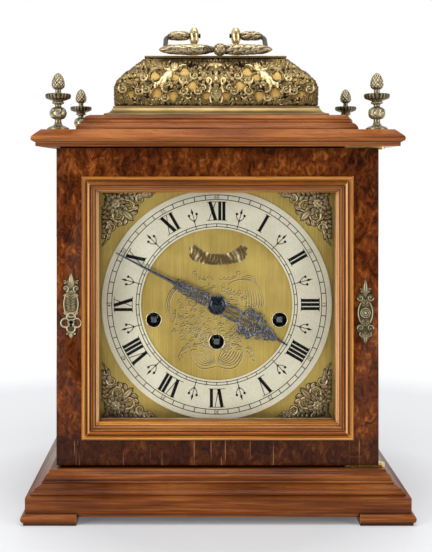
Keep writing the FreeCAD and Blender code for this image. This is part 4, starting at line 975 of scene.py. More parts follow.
def corner_relief():
    side = np.linspace(0.3, LEG, STEPS)
    u, v = [a.ravel() for a in np.meshgrid(side, side)]
    work = Relief(u, v)
    for flip in (False, True):
        def put_in(points):
            return [(z, x) for x, z in points] if flip else points
        work.ridge(put_in(bow(27, 5.5, 46.3, 1.6, 2.6)), 1.7, 1.7, 0.25)
        for k in range(7):
            foot = put_in([(15.0 + 3.6 * k, 5.6 - 0.25 * k), (17.6 + 3.9 * k, 1.0 + 0.1 * k)])
            work.leaf(*foot[0], *foot[1], 0.8, 1.35, 1.5)
            foot = put_in([(15.5 + 3.5 * k, 6.5 - 0.3 * k), (19.4 + 3.7 * k, 12.5 - 1.05 * k)])
            work.leaf(*foot[0], *foot[1], -0.9, 1.5, 1.8)
        work.ridge(put_in(swirl(22.5, 14.8, 5.6, 0.8, 200, -450)), 1.25, 1.9, 0.5)
        work.ridge(put_in(swirl(32.0, 8.6, 4.0, 0.7, 180, 440)), 1.05, 1.7, 0.5)
        work.ridge(put_in(swirl(39.0, 5.4, 2.6, 0.5, 160, 420)), 0.8, 1.5, 0.5)
        for x0, z0, x1, z1, bend in ((17, 13, 21, 23.5, -1.8), (26, 17, 30.5, 13.4, 1.0),
                                     (24.5, 20, 30, 18.5, 0.8), (6, 6, 13, 3.2, 0.8),
                                     (5, 9, 8.5, 3.5, 0.8), (20, 17, 26, 24, 0.6)):
            work.ridge(put_in(bow(x0, z0, x1, z1, bend, 6)), 1.7, 1.8, vein=0.5, swell=True)
        for x, z in ((14.5, 4.0), (27.5, 12.8), (35.4, 3.4), (19, 19)):
            spot_u, spot_v = put_in([(x, z)])[0]
            work.bead(spot_u, spot_v, 0.9, 1.9)
    for k in range(12):
        a = math.radians(30 * k)
        work.leaf(12 + 3.6 * math.sin(a), 12 + 3.6 * math.cos(a),
                  12 + 8.8 * math.sin(a + 0.3), 12 + 8.8 * math.cos(a + 0.3), 0.7, 1.5, 1.6)
    work.rosette(12, 12, 4.8, 2.1, 8)
    work.leaf(18, 18, 26.0, 26.0, 0, 2.6, 1.9)
    work.leaf(2.2, 2.2, 7.0, 7.0, 0, 1.8, 1.5)
    return work


def corner_mount(sx, sz):
    work = corner_relief()
    faces = grid(STEPS, STEPS)
    faces = faces[(work.h[faces] > 0.12).any(axis=1)]
    x = mount_centre[0] + sx * (CORNER_X - work.u)
    z = mount_centre[1] + sz * (CORNER_Z - work.v)
    y = mount_high.y / MM - 0.15 - work.h * (mount_thick - 0.2) / 2.2
    if sx * sz > 0:
        faces = faces[:, ::-1]
    return relief_mesh("corner_mount", np.stack([x, y, z], 1), faces, work.h, 2.1)


mounts = join("corner_mounts_finished", [corner_mount(sx, sz) for sx in (-1, 1) for sz in (-1, 1)])
mount_brass = chased_brass("corner_mount_brass", (0.020, 0.014, 0.007), (0.130, 0.093, 0.042),
                           (0.62, 0.50, 0.28), 0.36)
paint(mounts, mount_brass)
fit(mounts, "case", "antique_brass", "corner_spandrels")
print("corner mounts:", len(mounts.data.polygons), "faces")

# %% [markdown]
# The basket top was raised from sheet brass over a hollow, then pierced. Its four faces follow one
# outline: an upright skirt, a swelling shoulder, and a slope up to the cap. Each face is a fine
# grid laid on that outline, and the ornament pushes the grid outwards.

# %% Outline of the dome
shell_low, shell_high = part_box("basket_shell")
DOME_X = (shell_high.x - shell_low.x) / 2 / MM
DOME_Y = (shell_high.y - shell_low.y) / 2 / MM
DOME_Z = shell_low.z / MM
DOME_TALL = (shell_high.z - shell_low.z) / MM
MIDDLE_Y = (shell_low.y + shell_high.y) / 2 / MM


def curve_through(a, b, c, steps):
    control = (2 * b[0] - (a[0] + c[0]) / 2, 2 * b[1] - (a[1] + c[1]) / 2)
    spots = []
    for i in range(steps):
        t = i / steps
        spots.append(tuple((1 - t) ** 2 * a[k] + 2 * t * (1 - t) * control[k] + t * t * c[k] for k in (0, 1)))
    return spots


def dome_outline(rows):
    rough = [(0, 0)] + curve_through((0, 13.6), (-1.1, 19.0), (-4.0, 23.0), 12)
    rough += curve_through((-4.0, 23.0), (-7.0, 27.0), (-11.3, 30.1), 12)
    rough += [(-11.3, 30.1), (-18.2, 36.6), (-25.2, DOME_TALL)]
    rough = np.array(rough)
    step = np.hypot(*np.diff(rough, axis=0).T)
    along = np.concatenate([[0], np.cumsum(step)])
    even = np.linspace(0, along[-1], rows)
    out = np.interp(even, along, rough[:, 0])
    up = np.interp(even, along, rough[:, 1])
    slope_out, slope_up = np.gradient(out), np.gradient(up)
    long = np.hypot(slope_out, slope_up)
    return out, up, slope_up / long, -slope_out / long


# %% [markdown]
# The ornament is the usual one of such tops: piercings with raised rims, two small winged figures
# flying towards a shell in the middle, and scrolling leaves in every gap. The figures are plain
# rounded ones. Left and right mirror each other, as they do on the stamped original.

# %% Ornament for the long faces
LONG_HOLES = ((8.0, 8.5, 2.8), (19.9, 17.0, 3.6), (26.0, 29.0, 3.8), (33.6, 24.3, 2.9), (35.8, 8.5, 3.7),
              (48.9, 10.8, 3.9), (50.9, 25.4, 3.6), (66.0, 22.5, 1.6), (70.6, 10.2, 2.6))
END_HOLES = ((7.5, 9.0, 3.2), (18.0, 17.5, 3.4), (7.0, 26.0, 2.8), (30.0, 9.5, 2.8))
GOLDEN = 137.5


def fill_with_scrolls(work, holes, reach, pitch=6.6):
    # Scrolls and leaves wherever no piercing is; each turns on from the last.
    index = 0
    for row in range(7):
        height = 4.6 + row * 5.9
        for column in range(int(reach / pitch) + 1):
            index += 1
            x = (column + 0.5 * (row % 2)) * pitch + 1.1 * math.sin(index * 2.4)
            z = height + 1.1 * math.cos(index * 1.7)
            if x > reach or any(math.hypot(x - a, z - b) < r + 1.2 for a, b, r in holes):
                continue
            start = index * GOLDEN
            way = 1 if index % 2 else -1
            work.scroll(x, z, 2.9 + 0.6 * (index % 3) / 2, start, way * 400, 0.95, 1.7 + 0.5 * (index % 2))
            for turn in (60, 130, 200, 270):
                a = math.radians(start + turn * way)
                far = 5.4 + (index + turn) % 3 * 0.6
                work.leaf(x + 2.2 * math.sin(a), z + 2.2 * math.cos(a), x + far * math.sin(a + 0.5),
                          z + far * math.cos(a + 0.5), 0.9 * way, 1.35, 1.6 + 0.4 * (turn == 130))


def winged_figure(work):
    # Seen flying inwards, head up and legs trailing.
    for k in range(5):
        work.leaf(43.0 + k, 30.0 + 0.6 * k, 50.5 + 1.5 * k, 36.0 - 2.2 * k, 1.5, 1.3, 1.9)
    work.ridge(bow(44.5, 22.5, 50.5, 18.0, -1.8), 2.3, 2.9, 0.8)
    work.ridge(bow(50.5, 18.0, 49.0, 13.0, 0.8), 1.7, 2.6, 0.75)
    work.ridge(bow(49.0, 13.2, 54.5, 10.2, 0.6), 1.5, 2.4, 0.6)
    work.ridge(bow(42.5, 20.5, 44.8, 14.0, 1.4), 2.0, 2.5, 0.7)
    work.ridge(bow(44.8, 14.0, 40.6, 11.2, 0.8), 1.5, 2.2, 0.6)
    work.oval(39.8, 25.6, 7.2, 3.5, -38, 3.3)
    work.oval(42.6, 22.8, 3.6, 3.0, -38, 3.1)
    work.ridge(bow(36.6, 30.0, 30.6, 33.4, 1.3), 1.35, 2.5, 0.7)
    work.ridge(bow(30.6, 33.4, 25.0, 34.6, -0.7), 1.1, 2.2, 0.8)
    work.ridge(bow(38.5, 30.2, 44.6, 34.6, -1.6), 1.3, 2.4, 0.7)
    work.bead(34.6, 33.0, 3.0, 3.5)
    for turn in range(0, 360, 50):
        a = math.radians(turn)
        work.bead(34.9 + 2.3 * math.sin(a), 33.8 + 2.0 * math.cos(a), 0.95, 2.9)


def long_face_ornament(u, v):
    work = Relief(np.abs(u), v)
    for x, z, r in LONG_HOLES:
        work.ridge(arc(r + 0.7, 0, 360, 26, x, z), 0.8, 1.5, 1.0)
    fill_with_scrolls(work, LONG_HOLES, 83)
    for k in range(9):
        x = 72.0 + 1.5 * k
        work.ridge(bow(x - 2, 2.5, x - 6.5 + 0.6 * k, 24 - 0.8 * k, -3.0), 0.62, 1.5, 0.5)
    for k in range(20):
        x = 2.0 + 4.15 * k
        work.leaf(x, 0.9, x + 2.9, 4.1, 1.0, 1.2, 1.6)
    for k in range(13):
        x = 6.0 + 4.4 * k
        work.leaf(x, 41.0, x + 4.4, 35.6, 1.5, 1.3, 1.5)
    for x, z, way in ((14.5, 12.6, 1), (27.4, 12.4, -1), (26.8, 21.0, 1), (43.0, 7.0, -1), (57.6, 14.0, 1),
                      (60.5, 23.5, -1), (18.0, 24.8, 1), (64.5, 12.5, -1), (77.0, 14.0, 1)):
        work.scroll(x, z, 3.8, 60 * way, 470 * way, 1.0, 2.2)
    # A shell between two upright leaves stands in the middle.
    for k in range(5):
        work.leaf(0.0, 3.0, 1.4 * k, 17.5 - 1.1 * k, 0.5, 1.25, 2.5)
    work.ridge(bow(4.2, 3.0, 4.6, 17.0, -1.2), 1.1, 2.5, 0.8)
    work.scroll(6.4, 20.2, 2.9, 200, 430, 1.0, 2.7)
    work.scroll(10.8, 14.8, 2.6, 20, -430, 0.9, 2.2)
    work.bead(0.0, 22.4, 2.4, 2.8)
    work.leaf(0.0, 25.0, 0.0, 31.5, 0, 2.0, 2.4)
    for k in range(4):
        work.leaf(0.6, 33.5, 2.0 + 1.7 * k, 38.8 - 1.4 * k, 0.4, 1.1, 2.4)
    work.bead(0.0, 33.0, 1.9, 2.9)
    winged_figure(work)
    return work


def end_face_ornament(u, v):
    work = Relief(np.abs(u), v)
    fill_with_scrolls(work, END_HOLES, 43)
    for k in range(10):
        work.leaf(2.0 + 4.15 * k, 0.9, 4.9 + 4.15 * k, 4.1, 1.0, 1.2, 1.6)
    for k in range(6):
        x = 33.0 + 1.5 * k
        work.ridge(bow(x - 2, 2.5, x - 6.5 + 0.6 * k, 22 - 0.8 * k, -2.4), 0.62, 1.5, 0.5)
    for x, z, r in END_HOLES:
        work.ridge(arc(r + 0.75, 0, 360, 26, x, z), 0.8, 2.0, 1.0)
    for x, z, way in ((13.4, 12.6, 1), (24.0, 10.5, -1), (13.5, 22.0, 1), (25.5, 20.5, -1)):
        work.scroll(x, z, 3.6, 60 * way, 470 * way, 1.0, 2.2)
    for k in range(5):
        work.leaf(0.0, 12.0, 1.6 * k, 22.5 - 1.3 * k, 0.5, 1.2, 2.4)
    work.bead(0.0, 11.4, 2.2, 2.8)
    work.rosette(0.0, 34.0, 4.2, 2.2, 7)
    return work


# %% [markdown]
# Four faces make the dome. The grid is squeezed towards the top like the sheet itself, the relief
# fades where the face meets the cap and the foot, and a low ridge runs up each corner. Faces that
# fall inside a piercing are left out, and the edge of each piercing is turned inwards.

# %% Raise the four faces
ROWS = 104
SHEET_BACK = 0.7  # the sheet lies this far in, so that its relief reaches out to the plain shell


def dome_face(name, half, other_half, columns, ornament, holes, to_world):
    out, up, nose_out, nose_up = dome_outline(ROWS)
    out = out - SHEET_BACK
    share = np.linspace(-1, 1, columns)
    row_half = half + out
    u = row_half[:, None] * share[None, :]
    v = np.repeat(up[:, None], columns, axis=1)
    work = ornament(u.ravel(), v.ravel())
    h = work.h.reshape(u.shape)
    hole_edge = np.full(u.shape, 9.0)
    for index, (x, z, r) in enumerate(holes):
        bearing = np.arctan2(v - z, np.abs(u) - x)
        ragged = r * (0.95 + 0.13 * np.sin(3 * bearing + 1.7 * index) + 0.05 * np.sin(5 * bearing + index))
        hole_edge = np.minimum(hole_edge, np.hypot(np.abs(u) - x, v - z) - ragged)
    lip = np.clip(1 - hole_edge / 0.55, 0, 1)
    corner = np.clip(1 - (row_half[:, None] - np.abs(u)) / 2.2, 0, 1)
    fade = np.clip(up / 1.2, 0, 1) * np.clip((DOME_TALL - up) / 1.8, 0, 1)
    h = (h * (1 - corner) + 0.7 * corner) * fade[:, None]
    push = h * (1 - lip) - 1.1 * lip
    along = u + np.sign(u) * nose_out[:, None] * push * corner
    depth = other_half + out[:, None] + nose_out[:, None] * push
    tall = v + nose_up[:, None] * push
    corners = to_world(along.ravel(), depth.ravel(), tall.ravel())
    faces = grid(columns, ROWS)
    keep = (hole_edge.ravel()[faces] > -0.15).all(axis=1)
    piece = relief_mesh(name, corners, faces[keep], h.ravel(), 2.6)
    face_outwards(piece)
    return piece


def facing(turn):
    # Looking at a face from outside, along runs to the right.
    def to_world(along, depth, tall):
        x, y = {"front": (along, -depth), "back": (-along, depth), "right": (depth, along),
                "left": (-depth, -along)}[turn]
        return np.stack([x, MIDDLE_Y + y, DOME_Z + tall], 1)
    return to_world


LONG_FACE = (DOME_X, DOME_Y, 340, long_face_ornament, LONG_HOLES)
END_FACE = (DOME_Y, DOME_X, 176, end_face_ornament, END_HOLES)
for turn, kind in (("front", LONG_FACE), ("back", LONG_FACE), ("left", END_FACE), ("right", END_FACE)):
    face = dome_face("basket_face_" + turn, *kind, facing(turn))
    paint(face, gilt)
    fit(face, "case", "gilt_brass", "basket_shell")
print("dome raised:", DOME_X * 2, "by", DOME_Y * 2, "mm")

# %% [markdown]
# The sloping foot and the cap are plain rolled brass with rubbed edges.

# %% Foot and cap of the basket
dressed("basket_base", "case", "gilt_brass", 0.25, (flange_brass,))
dressed("basket_cap", "case", "gilt_brass", 0.2, (flange_brass,))

# %% [markdown]
# Finials, handle and posts are castings that were turned or filed up and then chased. Each is a
# tube of rings: a radius for every height, and a relief laid round it. The finial is an urn on a
# foot, a fluted umbrella over it, and a pineapple on top.

# %% Turned and chased castings
def lathe(name, profile, ornament, around=72, per_mm=2.2):
    # profile: radius and height in millimetres, bottom to top. ornament: relief for angle,
    # height and radius.
    profile = np.array(profile, float)
    step = np.hypot(*np.diff(profile, axis=0).T)
    along = np.concatenate([[0], np.cumsum(step)])
    even = np.unique(np.concatenate([np.linspace(0, along[-1], int(along[-1] * per_mm)), along]))
    radius, height = np.interp(even, along, profile[:, 0]), np.interp(even, along, profile[:, 1])
    angle = np.linspace(0, 2 * math.pi, around, endpoint=False)
    a, r = np.meshgrid(angle, radius)
    z = np.repeat(height[:, None], around, axis=1)
    relief = ornament(a, z, r)
    r = np.maximum(r + relief, 0.0)
    corners = np.stack([(r * np.cos(a)).ravel(), (r * np.sin(a)).ravel(), z.ravel()], 1)
    tone = np.clip(0.55 + relief, 0, 1)
    piece = relief_mesh(name, corners, tube(around, len(radius)), tone.ravel(), 1.0)
    face_outwards(piece, 0.01 * MM)
    return piece


def band(z, low, high, soft=0.5):
    return np.clip((z - low) / soft, 0, 1) * np.clip((high - z) / soft, 0, 1)


# %% [markdown]
# The finial's outline is read off as radius and height. The ornament is a sum of waves round the
# axis, each kept to its own band of heights: gadroons on the umbrella, leaves on the urn, a beaded
# ring, and crossing waves for the scales of the pineapple.

# %% Finials
FINIAL_TALL = 44.8
FINIAL = [(0.0, 0.0), (8.5, 0.0), (8.5, 1.2), (6.6, 2.3), (4.2, 3.2), (3.2, 4.2), (2.6, 6.0), (2.4, 8.0),
          (4.4, 8.6), (5.6, 9.6), (6.5, 11.6), (6.6, 13.6), (6.0, 15.8), (4.6, 17.2), (2.6, 17.9),
          (2.5, 19.6), (4.4, 20.4), (4.6, 21.3), (3.9, 22.4), (6.4, 23.2), (9.4, 24.4), (10.1, 26.2),
          (9.9, 27.8), (9.0, 28.2), (6.8, 27.0), (4.6, 27.0), (2.4, 28.4), (2.2, 30.0), (2.3, 31.4),
          (3.7, 32.1), (4.7, 33.6), (5.0, 35.4), (4.7, 38.0), (3.8, 40.6), (2.6, 42.8), (1.2, 44.2),
          (0.0, 44.75)]


def finial_relief(a, z, r):
    flutes = -0.55 * band(z, 23.4, 28.3) * (0.5 + 0.5 * np.cos(20 * a)) * (r > 4.5)
    hearts = 0.5 * band(z, 9.6, 16.6) * (np.abs(np.sin(3 * a + 0.5 * np.sin(z * 1.1))) ** 0.7 - 0.55)
    beads = 0.22 * band(z, 20.3, 21.9) * np.cos(14 * a)
    scales = np.abs(np.sin(5 * a + z * 0.9)) * np.abs(np.sin(5 * a - z * 0.9))
    cone = band(z, 32.4, 43.8) * (0.75 * np.sqrt(scales) - 0.4)
    foot = 0.18 * band(z, 1.4, 3.4) * np.cos(18 * a)
    return flutes + hearts + beads + cone + foot


cast_grey = chased_brass("finial_brass", (0.030, 0.024, 0.013), (0.20, 0.16, 0.088), (0.54, 0.48, 0.33),
                         0.34, 0.15, 0.95)
for place in ("front_left", "front_right", "rear_left", "rear_right"):
    low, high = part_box("finial_" + place)
    piece = lathe("finial_" + place + "_chased", FINIAL, finial_relief)
    foot_z = high.z - FINIAL_TALL * MM
    piece.location = ((low.x + high.x) / 2, (low.y + high.y) / 2, foot_z)
    paint(piece, cast_grey)
    fit(piece, "case", "antique_brass", "finial_" + place)
print("finials stand from", round(foot_z / MM, 1), "mm")

# %% [markdown]
# The handle is one casting: an arm at each post, a bend, and a grip bar wrapped in leaves, with a
# plaited knop near its middle and a leaf that runs on past each bend. Its centre line is drawn flat
# and then leans forward to where the handle rests. All measures are in millimetres.

# %% Carrying handle and its posts
PIVOT_Y, PIVOT_Z, LEAN = 9.7, 387.0, math.radians(31)
ARM_START, BAR_HALF, REACH, BEND = 22.7, 42.7, 29.3, 9.0
BAR_Y, BAR_Z = PIVOT_Y - REACH * math.cos(LEAN), PIVOT_Z - REACH * math.sin(LEAN)


def handle_line():
    spots = [(-ARM_START - 0.02, 0.0)]
    spots += [(-(BAR_HALF - BEND) + x, z - BEND) for x, z in arc(BEND, 0, -90, 12)]
    spots += [(-(BAR_HALF - BEND) + x, z - REACH + BEND) for x, z in arc(BEND, -90, -180, 12)]
    spots += [(-x, z) for x, z in spots[::-1]]
    return np.array(spots)


def resampled(points, count):
    step = np.hypot(*np.diff(points, axis=0).T)
    along = np.concatenate([[0], np.cumsum(step)])
    even = np.linspace(0, along[-1], count)
    return np.stack([np.interp(even, along, points[:, k]) for k in (0, 1)], 1), even


def handle_girth(s, total):
    from_middle = np.abs(s - total / 2)
    girth = 2.4 + 1.9 * np.clip(1 - np.abs(from_middle - 22) / 20, 0, 1) ** 0.4
    girth += 1.3 * np.exp(-((from_middle - (total / 2 - 8)) / 8.0) ** 4)
    girth += 0.8 * np.exp(-((from_middle - 8.2) / 0.9) ** 2) + 0.6 * np.exp(-((from_middle - 6.4) / 0.6) ** 2)
    return girth


AROUND = 44
path, s = resampled(handle_line(), 330)
tangent = np.gradient(path, axis=0)
tangent /= np.hypot(*tangent.T)[:, None]
girth = handle_girth(s, s[-1])
turn = np.linspace(0, 2 * math.pi, AROUND, endpoint=False)
unrolled_s, unrolled_t = np.repeat(s[:, None], AROUND, 1), np.repeat(turn[None, :] * 3.2, len(s), 0)
bark = Relief(unrolled_s.ravel(), unrolled_t.ravel())
middle_s = s[-1] / 2
for way in (-1, 1):
    for ring_index, distance in enumerate((9, 14, 19, 24, 29, 34, 66, 71, 76)):
        for k in range(-1, 6):
            t = 4.0 * k + 2.0 * (ring_index % 2)
            at = middle_s + way * distance
            bark.leaf(at, t, at + way * 8.5, t + 1.4, 1.0, 1.55, 1.05)
            bark.scroll(at + way * 3.5, t + 2.0, 1.4, 90 * k, 300, 0.5, 1.0)
lift = bark.h.reshape(unrolled_s.shape)
side_ways = np.stack([tangent[:, 1], -tangent[:, 0]], 1)
full = girth[:, None] + lift - 0.35
flat = full * np.cos(turn)[None, :]
up = full * np.sin(turn)[None, :]
flat_x = path[:, 0][:, None] + side_ways[:, 0][:, None] * flat
flat_y = path[:, 1][:, None] + side_ways[:, 1][:, None] * flat
y = PIVOT_Y + flat_y * math.cos(LEAN) - up * math.sin(LEAN)
z = PIVOT_Z + flat_y * math.sin(LEAN) + up * math.cos(LEAN)
bail = relief_mesh("handle_bail", np.stack([flat_x.ravel(), y.ravel(), z.ravel()], 1),
                   tube(AROUND, len(s)), 0.25 + lift.ravel() / 1.3, 1.0)
parts = [bail]
# At each end of the grip a leaf runs on past the bend.
EAR = [(0, 0), (3.4, 0), (3.8, 2.5), (3.5, 6.0), (2.6, 9.5), (1.3, 12.4), (0, 13.6)]


def ear_leaves(a, z, r):
    return 0.55 * np.abs(np.sin(2.5 * a + 0.25 * z)) ** 0.6 - 0.3


def laid_on_bar(piece, x, side=1):
    # A casting turned upright is laid along the grip, its top pointing to that side.
    piece.rotation_euler = (0, side * UPRIGHT, 0)
    piece.location = (x * MM, BAR_Y * MM, BAR_Z * MM)
    settle(piece)
    return piece


for side in (-1, 1):
    parts.append(laid_on_bar(lathe("handle_ear", EAR, ear_leaves, 40, 2.6), side * 34.5, side))
KNOP = [(0, -5.0), (2.6, -5.0), (3.9, -4.0), (4.7, -2.6), (5.1, -1.0), (5.1, 1.0), (4.7, 2.6), (3.9, 4.0),
        (2.6, 5.0), (0, 5.0)]


def plait(a, z, r):
    return 0.5 * (np.abs(np.sin(3 * a + 0.9 * z)) * np.abs(np.sin(3 * a - 0.9 * z))) ** 0.5 - 0.2


parts.append(laid_on_bar(lathe("handle_knop", KNOP, plait, 48), 3.6))
for side in (-1, 1):
    bpy.ops.mesh.primitive_cylinder_add(vertices=24, radius=2.0 * MM, depth=10.4 * MM,
                                        rotation=(0, UPRIGHT, 0),
                                        location=(side * 17.8 * MM, PIVOT_Y * MM, PIVOT_Z * MM))
    pin = bpy.context.object
    soften(pin, 0.3)
    parts.append(pin)
handle = join("carrying_handle_chased", parts)
handle_brass = chased_brass("handle_brass", (0.022, 0.015, 0.008), (0.15, 0.110, 0.056), (0.52, 0.43, 0.26),
                            0.36, 0.05, 1.0)
paint(handle, handle_brass)
fit(handle, "carrying_handle", "antique_brass", "carrying_handle")

POST = [(0, 0), (5.2, 0), (5.3, 1.4), (4.0, 2.4), (3.0, 3.2), (2.5, 5.0), (2.4, 12.6), (3.2, 13.4),
        (3.9, 15.4), (4.3, 18.2), (4.3, 21.0), (3.7, 24.0), (2.4, 26.4), (0.9, 27.0), (0, 27.1)]


def post_relief(a, z, r):
    lobes = 0.30 * band(z, 13.2, 26.4, 1.5) * (np.abs(np.cos(3 * a + 0.22 * (z - 19))) ** 0.5 - 0.55)
    return lobes + 0.12 * band(z, 0.4, 2.2) * np.cos(14 * a)


posts = []
post_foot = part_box("handle_posts")[0].z
for side in (-1, 1):
    post = lathe("handle_post", POST, post_relief, 48, 2.0)
    post.location = (side * 18.2 * MM, PIVOT_Y * MM, post_foot)
    settle(post)
    posts.append(post)
posts = join("handle_posts_chased", posts)
post_brass = chased_brass("post_brass", (0.07, 0.045, 0.018), (0.40, 0.27, 0.10), (0.92, 0.78, 0.46),
                          0.28, 0.1, 0.9)
paint(posts, post_brass)
fit(posts, "case", "antique_brass", "handle_posts")

# %% [markdown]
# The two brass plates on the door are thin castings, pierced and chased with scrolls. The left one
# has the keyhole; the right one only matches it and has a ringed boss.

# %% Escutcheons
def thin_plate(work, *ovals):
    # The thin ground of the casting, as ovals: middle across, middle up, half height, half width.
    for cx, cz, long, short in ovals:
        inside = ((work.u - cx) / short) ** 2 + ((work.v - cz) / long) ** 2 < 1
        work.h = np.where(inside, np.maximum(work.h, 0.42), work.h)


def escutcheon(name, node, ornament, holes):
    low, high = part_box(node)
    middle, bottom = (low.x + high.x) / 2 / MM, low.z / MM
    tall, half, thick = (high.z - low.z) / MM, 9.4, (high.y - low.y) / MM
    columns, rows = 84, 228
    u, v = [a.ravel() for a in np.meshgrid(np.linspace(-half, half, columns), np.linspace(0, tall, rows))]
    work = Relief(np.abs(u), v)
    ornament(work, tall)
    faces = grid(columns, rows)
    keep = (work.h[faces] > 0.1).any(axis=1)
    for cx, cz, radius in holes:
        keep &= (np.hypot(np.abs(u) - cx, v - cz)[faces] > radius).all(axis=1)
    back = high.y / MM if node == "keyhole_escutcheon" else door_plane / MM
    y = back - 0.12 - work.h * (thick - 0.15) / 1.9
    piece = relief_mesh(name, np.stack([middle + u, y, bottom + v], 1), faces[keep], work.h, 1.7)
    paint(piece, plate_brass)
    return fit(piece, "front_door", "antique_brass", node)


def oval_rim(work, cz, tall):
    half_turn = np.linspace(0, math.pi, 22)
    work.ridge([(0.2 + 5.4 * math.sin(a), cz + tall * math.cos(a)) for a in half_turn], 0.75, 1.4, 1.0)


def key_ornament(work, tall):
    thin_plate(work, (0, 27, 10.5, 5.6), (4.4, 12.4, 4.4, 4.4), (0, 16.5, 4.6, 4.6), (0, 8.2, 4.4, 4.4),
               (0, 42, 6.5, 3.2), (3.6, 39.5, 2.6, 2.8), (0, 3.4, 2.6, 2.2))
    oval_rim(work, 27, 10.0)
    for k in range(8):
        z = 19.0 + 2.3 * k
        work.leaf(0.2, z, 4.2 - 0.08 * (k - 3.5) ** 2, z + 2.4, 0.5, 0.8, 1.3)
        work.scroll(2.3, z + 0.6, 0.9, 60 * k, 320, 0.32, 1.1)
    for z, way in ((20.5, 1), (33.5, -1)):
        work.scroll(3.6, z, 1.9, 90, 400 * way, 0.55, 1.5)
    work.scroll(4.2, 39.2, 2.5, 200, 430, 0.75, 1.6)
    work.scroll(4.9, 44.0, 1.5, 30, -380, 0.6, 1.4)
    work.leaf(0.0, 40.0, 0.0, tall - 0.2, 0, 2.1, 1.6)
    work.leaf(1.0, 39.5, 3.2, 46.0, 0.6, 1.0, 1.3)
    work.ridge(arc(3.5, 0, 360, 26, 4.5, 12.4), 0.8, 1.6, 1.0)
    work.ridge(arc(3.3, -100, 100, 20, 0, 16.8), 0.8, 1.6, 1.0)
    work.ridge(arc(3.2, 60, 180, 16, 0, 8.0), 0.8, 1.6, 1.0)
    work.ridge(arc(2.5, 0, 360, 22, 0, 12.4), 0.6, 1.5, 1.0)
    work.leaf(0, 4.6, 0, 0.2, 0, 1.6, 1.5)
    work.bead(2.9, 3.8, 1.1, 1.4)


def boss_ornament(work, tall):
    middle = tall / 2 - 1.2
    thin_plate(work, (0, middle, 10.0, 5.6), (0, tall - 9.5, 5.5, 2.6), (3.4, middle + 12.0, 3.0, 2.8),
               (3.6, middle - 12.2, 3.4, 3.4), (0, middle - 16.5, 5.0, 3.6), (0, 4.5, 4.4, 2.2))
    oval_rim(work, middle, 9.6)
    for radius in (2.2, 3.6):
        work.ridge(arc(radius, 0, 360, 26, 0, middle), 0.55, 1.6, 1.0)
    for k in range(4):
        for up in (-1, 1):
            z = middle + up * (4.6 + 1.5 * k)
            work.leaf(0.2, z, 3.6 - 0.5 * k, z + up * 1.6, 0.4 * up, 0.7, 1.3)
    work.bead(0, middle, 1.6, 1.8)
    for up in (-1, 1):
        work.scroll(3.8, middle + up * 11.8, 2.5, 100, 430 * up, 0.75, 1.6)
        work.scroll(2.8, middle + up * 17.0, 1.9, 40, -400 * up, 0.65, 1.5)
        work.leaf(0.4, middle + up * 6.0, 3.4, middle + up * 8.6, 0.6, 0.9, 1.4)
    work.leaf(0, tall - 14.5, 0, tall - 0.2, 0, 1.9, 1.6)
    work.leaf(0, 9.0, 0, 0.2, 0, 1.9, 1.6)
    work.leaf(1.0, tall - 13.0, 3.4, tall - 7.5, 0.6, 0.9, 1.3)
    work.leaf(1.0, 8.6, 3.2, 4.0, -0.6, 0.9, 1.3)


plate_brass = chased_brass("escutcheon_brass", (0.026, 0.021, 0.010), (0.17, 0.135, 0.066),
                           (0.50, 0.44, 0.27), 0.36, 0.12, 0.95)
escutcheon("keyhole_plate", "keyhole_escutcheon", key_ornament,
           ((0, 13.0, 1.5), (0, 10.4, 0.8), (4.5, 12.4, 1.9)))
escutcheon("boss_plate", "knob_escutcheon", boss_ornament, ())

# %% [markdown]
# The hands are sawn from steel, pierced with rings and scrolls, rounded over with a file and
# blued. Each is drawn from bent wires lying flat in the plane of the CAD hand, in its own
# coordinates: one number along the hand and one across it.

# %% Pierced hands
def along_hand(points, angle, flat):
    c, s = math.cos(math.radians(angle)), math.sin(math.radians(angle))
    return [(centre[0] + (x * c + z * s) * MM, flat, centre[1] + (z * c - x * s) * MM) for x, z in points]


def wire(points, thick, angle, flat, closed=False, end=None):
    data = bpy.data.curves.new("wire", "CURVE")
    data.dimensions = "3D"
    data.bevel_depth = thick * MM
    data.bevel_resolution = 2
    data.use_fill_caps = True
    line = data.splines.new("POLY")
    line.points.add(len(points) - 1)
    for i, place in enumerate(along_hand(points, angle, flat)):
        line.points[i].co = (*place, 1)
        line.points[i].radius = 1 if end is None else 1 + (end / thick - 1) * i / (len(points) - 1)
    line.use_cyclic_u = closed
    piece = bpy.data.objects.new("wire", data)
    bpy.context.scene.collection.objects.link(piece)
    return piece


def finished_hand(name, wires, body, nodes, flat, half, polish):
    # Wires thicker than the CAD hand are pressed towards its plane; thin ones stay round.
    for item in wires:
        squeeze = min(1.0, half / (item.data.bevel_depth / MM))
        item.scale.y = squeeze
        item.location.y = flat * (1 - squeeze)
    only(*wires)
    bpy.ops.object.convert(target="MESH")
    bpy.ops.object.transform_apply(location=True, rotation=True, scale=True)
    piece = join(name, list(bpy.context.selected_objects))
    paint(piece, polish)
    smooth(piece, 50)
    return fit(piece, body, "blued_steel", *nodes)


def ring_of(x, z, radius, steps=20):
    return arc(radius, 0, 360, steps, x, z)[:-1]


def mid_plane(node):
    low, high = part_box(node)
    return (low.y + high.y) / 2


def saw_out(shapes, angle, flat):
    # Each shape: its points, half its thickness, and where needed whether it closes and its end.
    return [wire(points, thick, angle, flat, *more) for points, thick, *more in shapes]


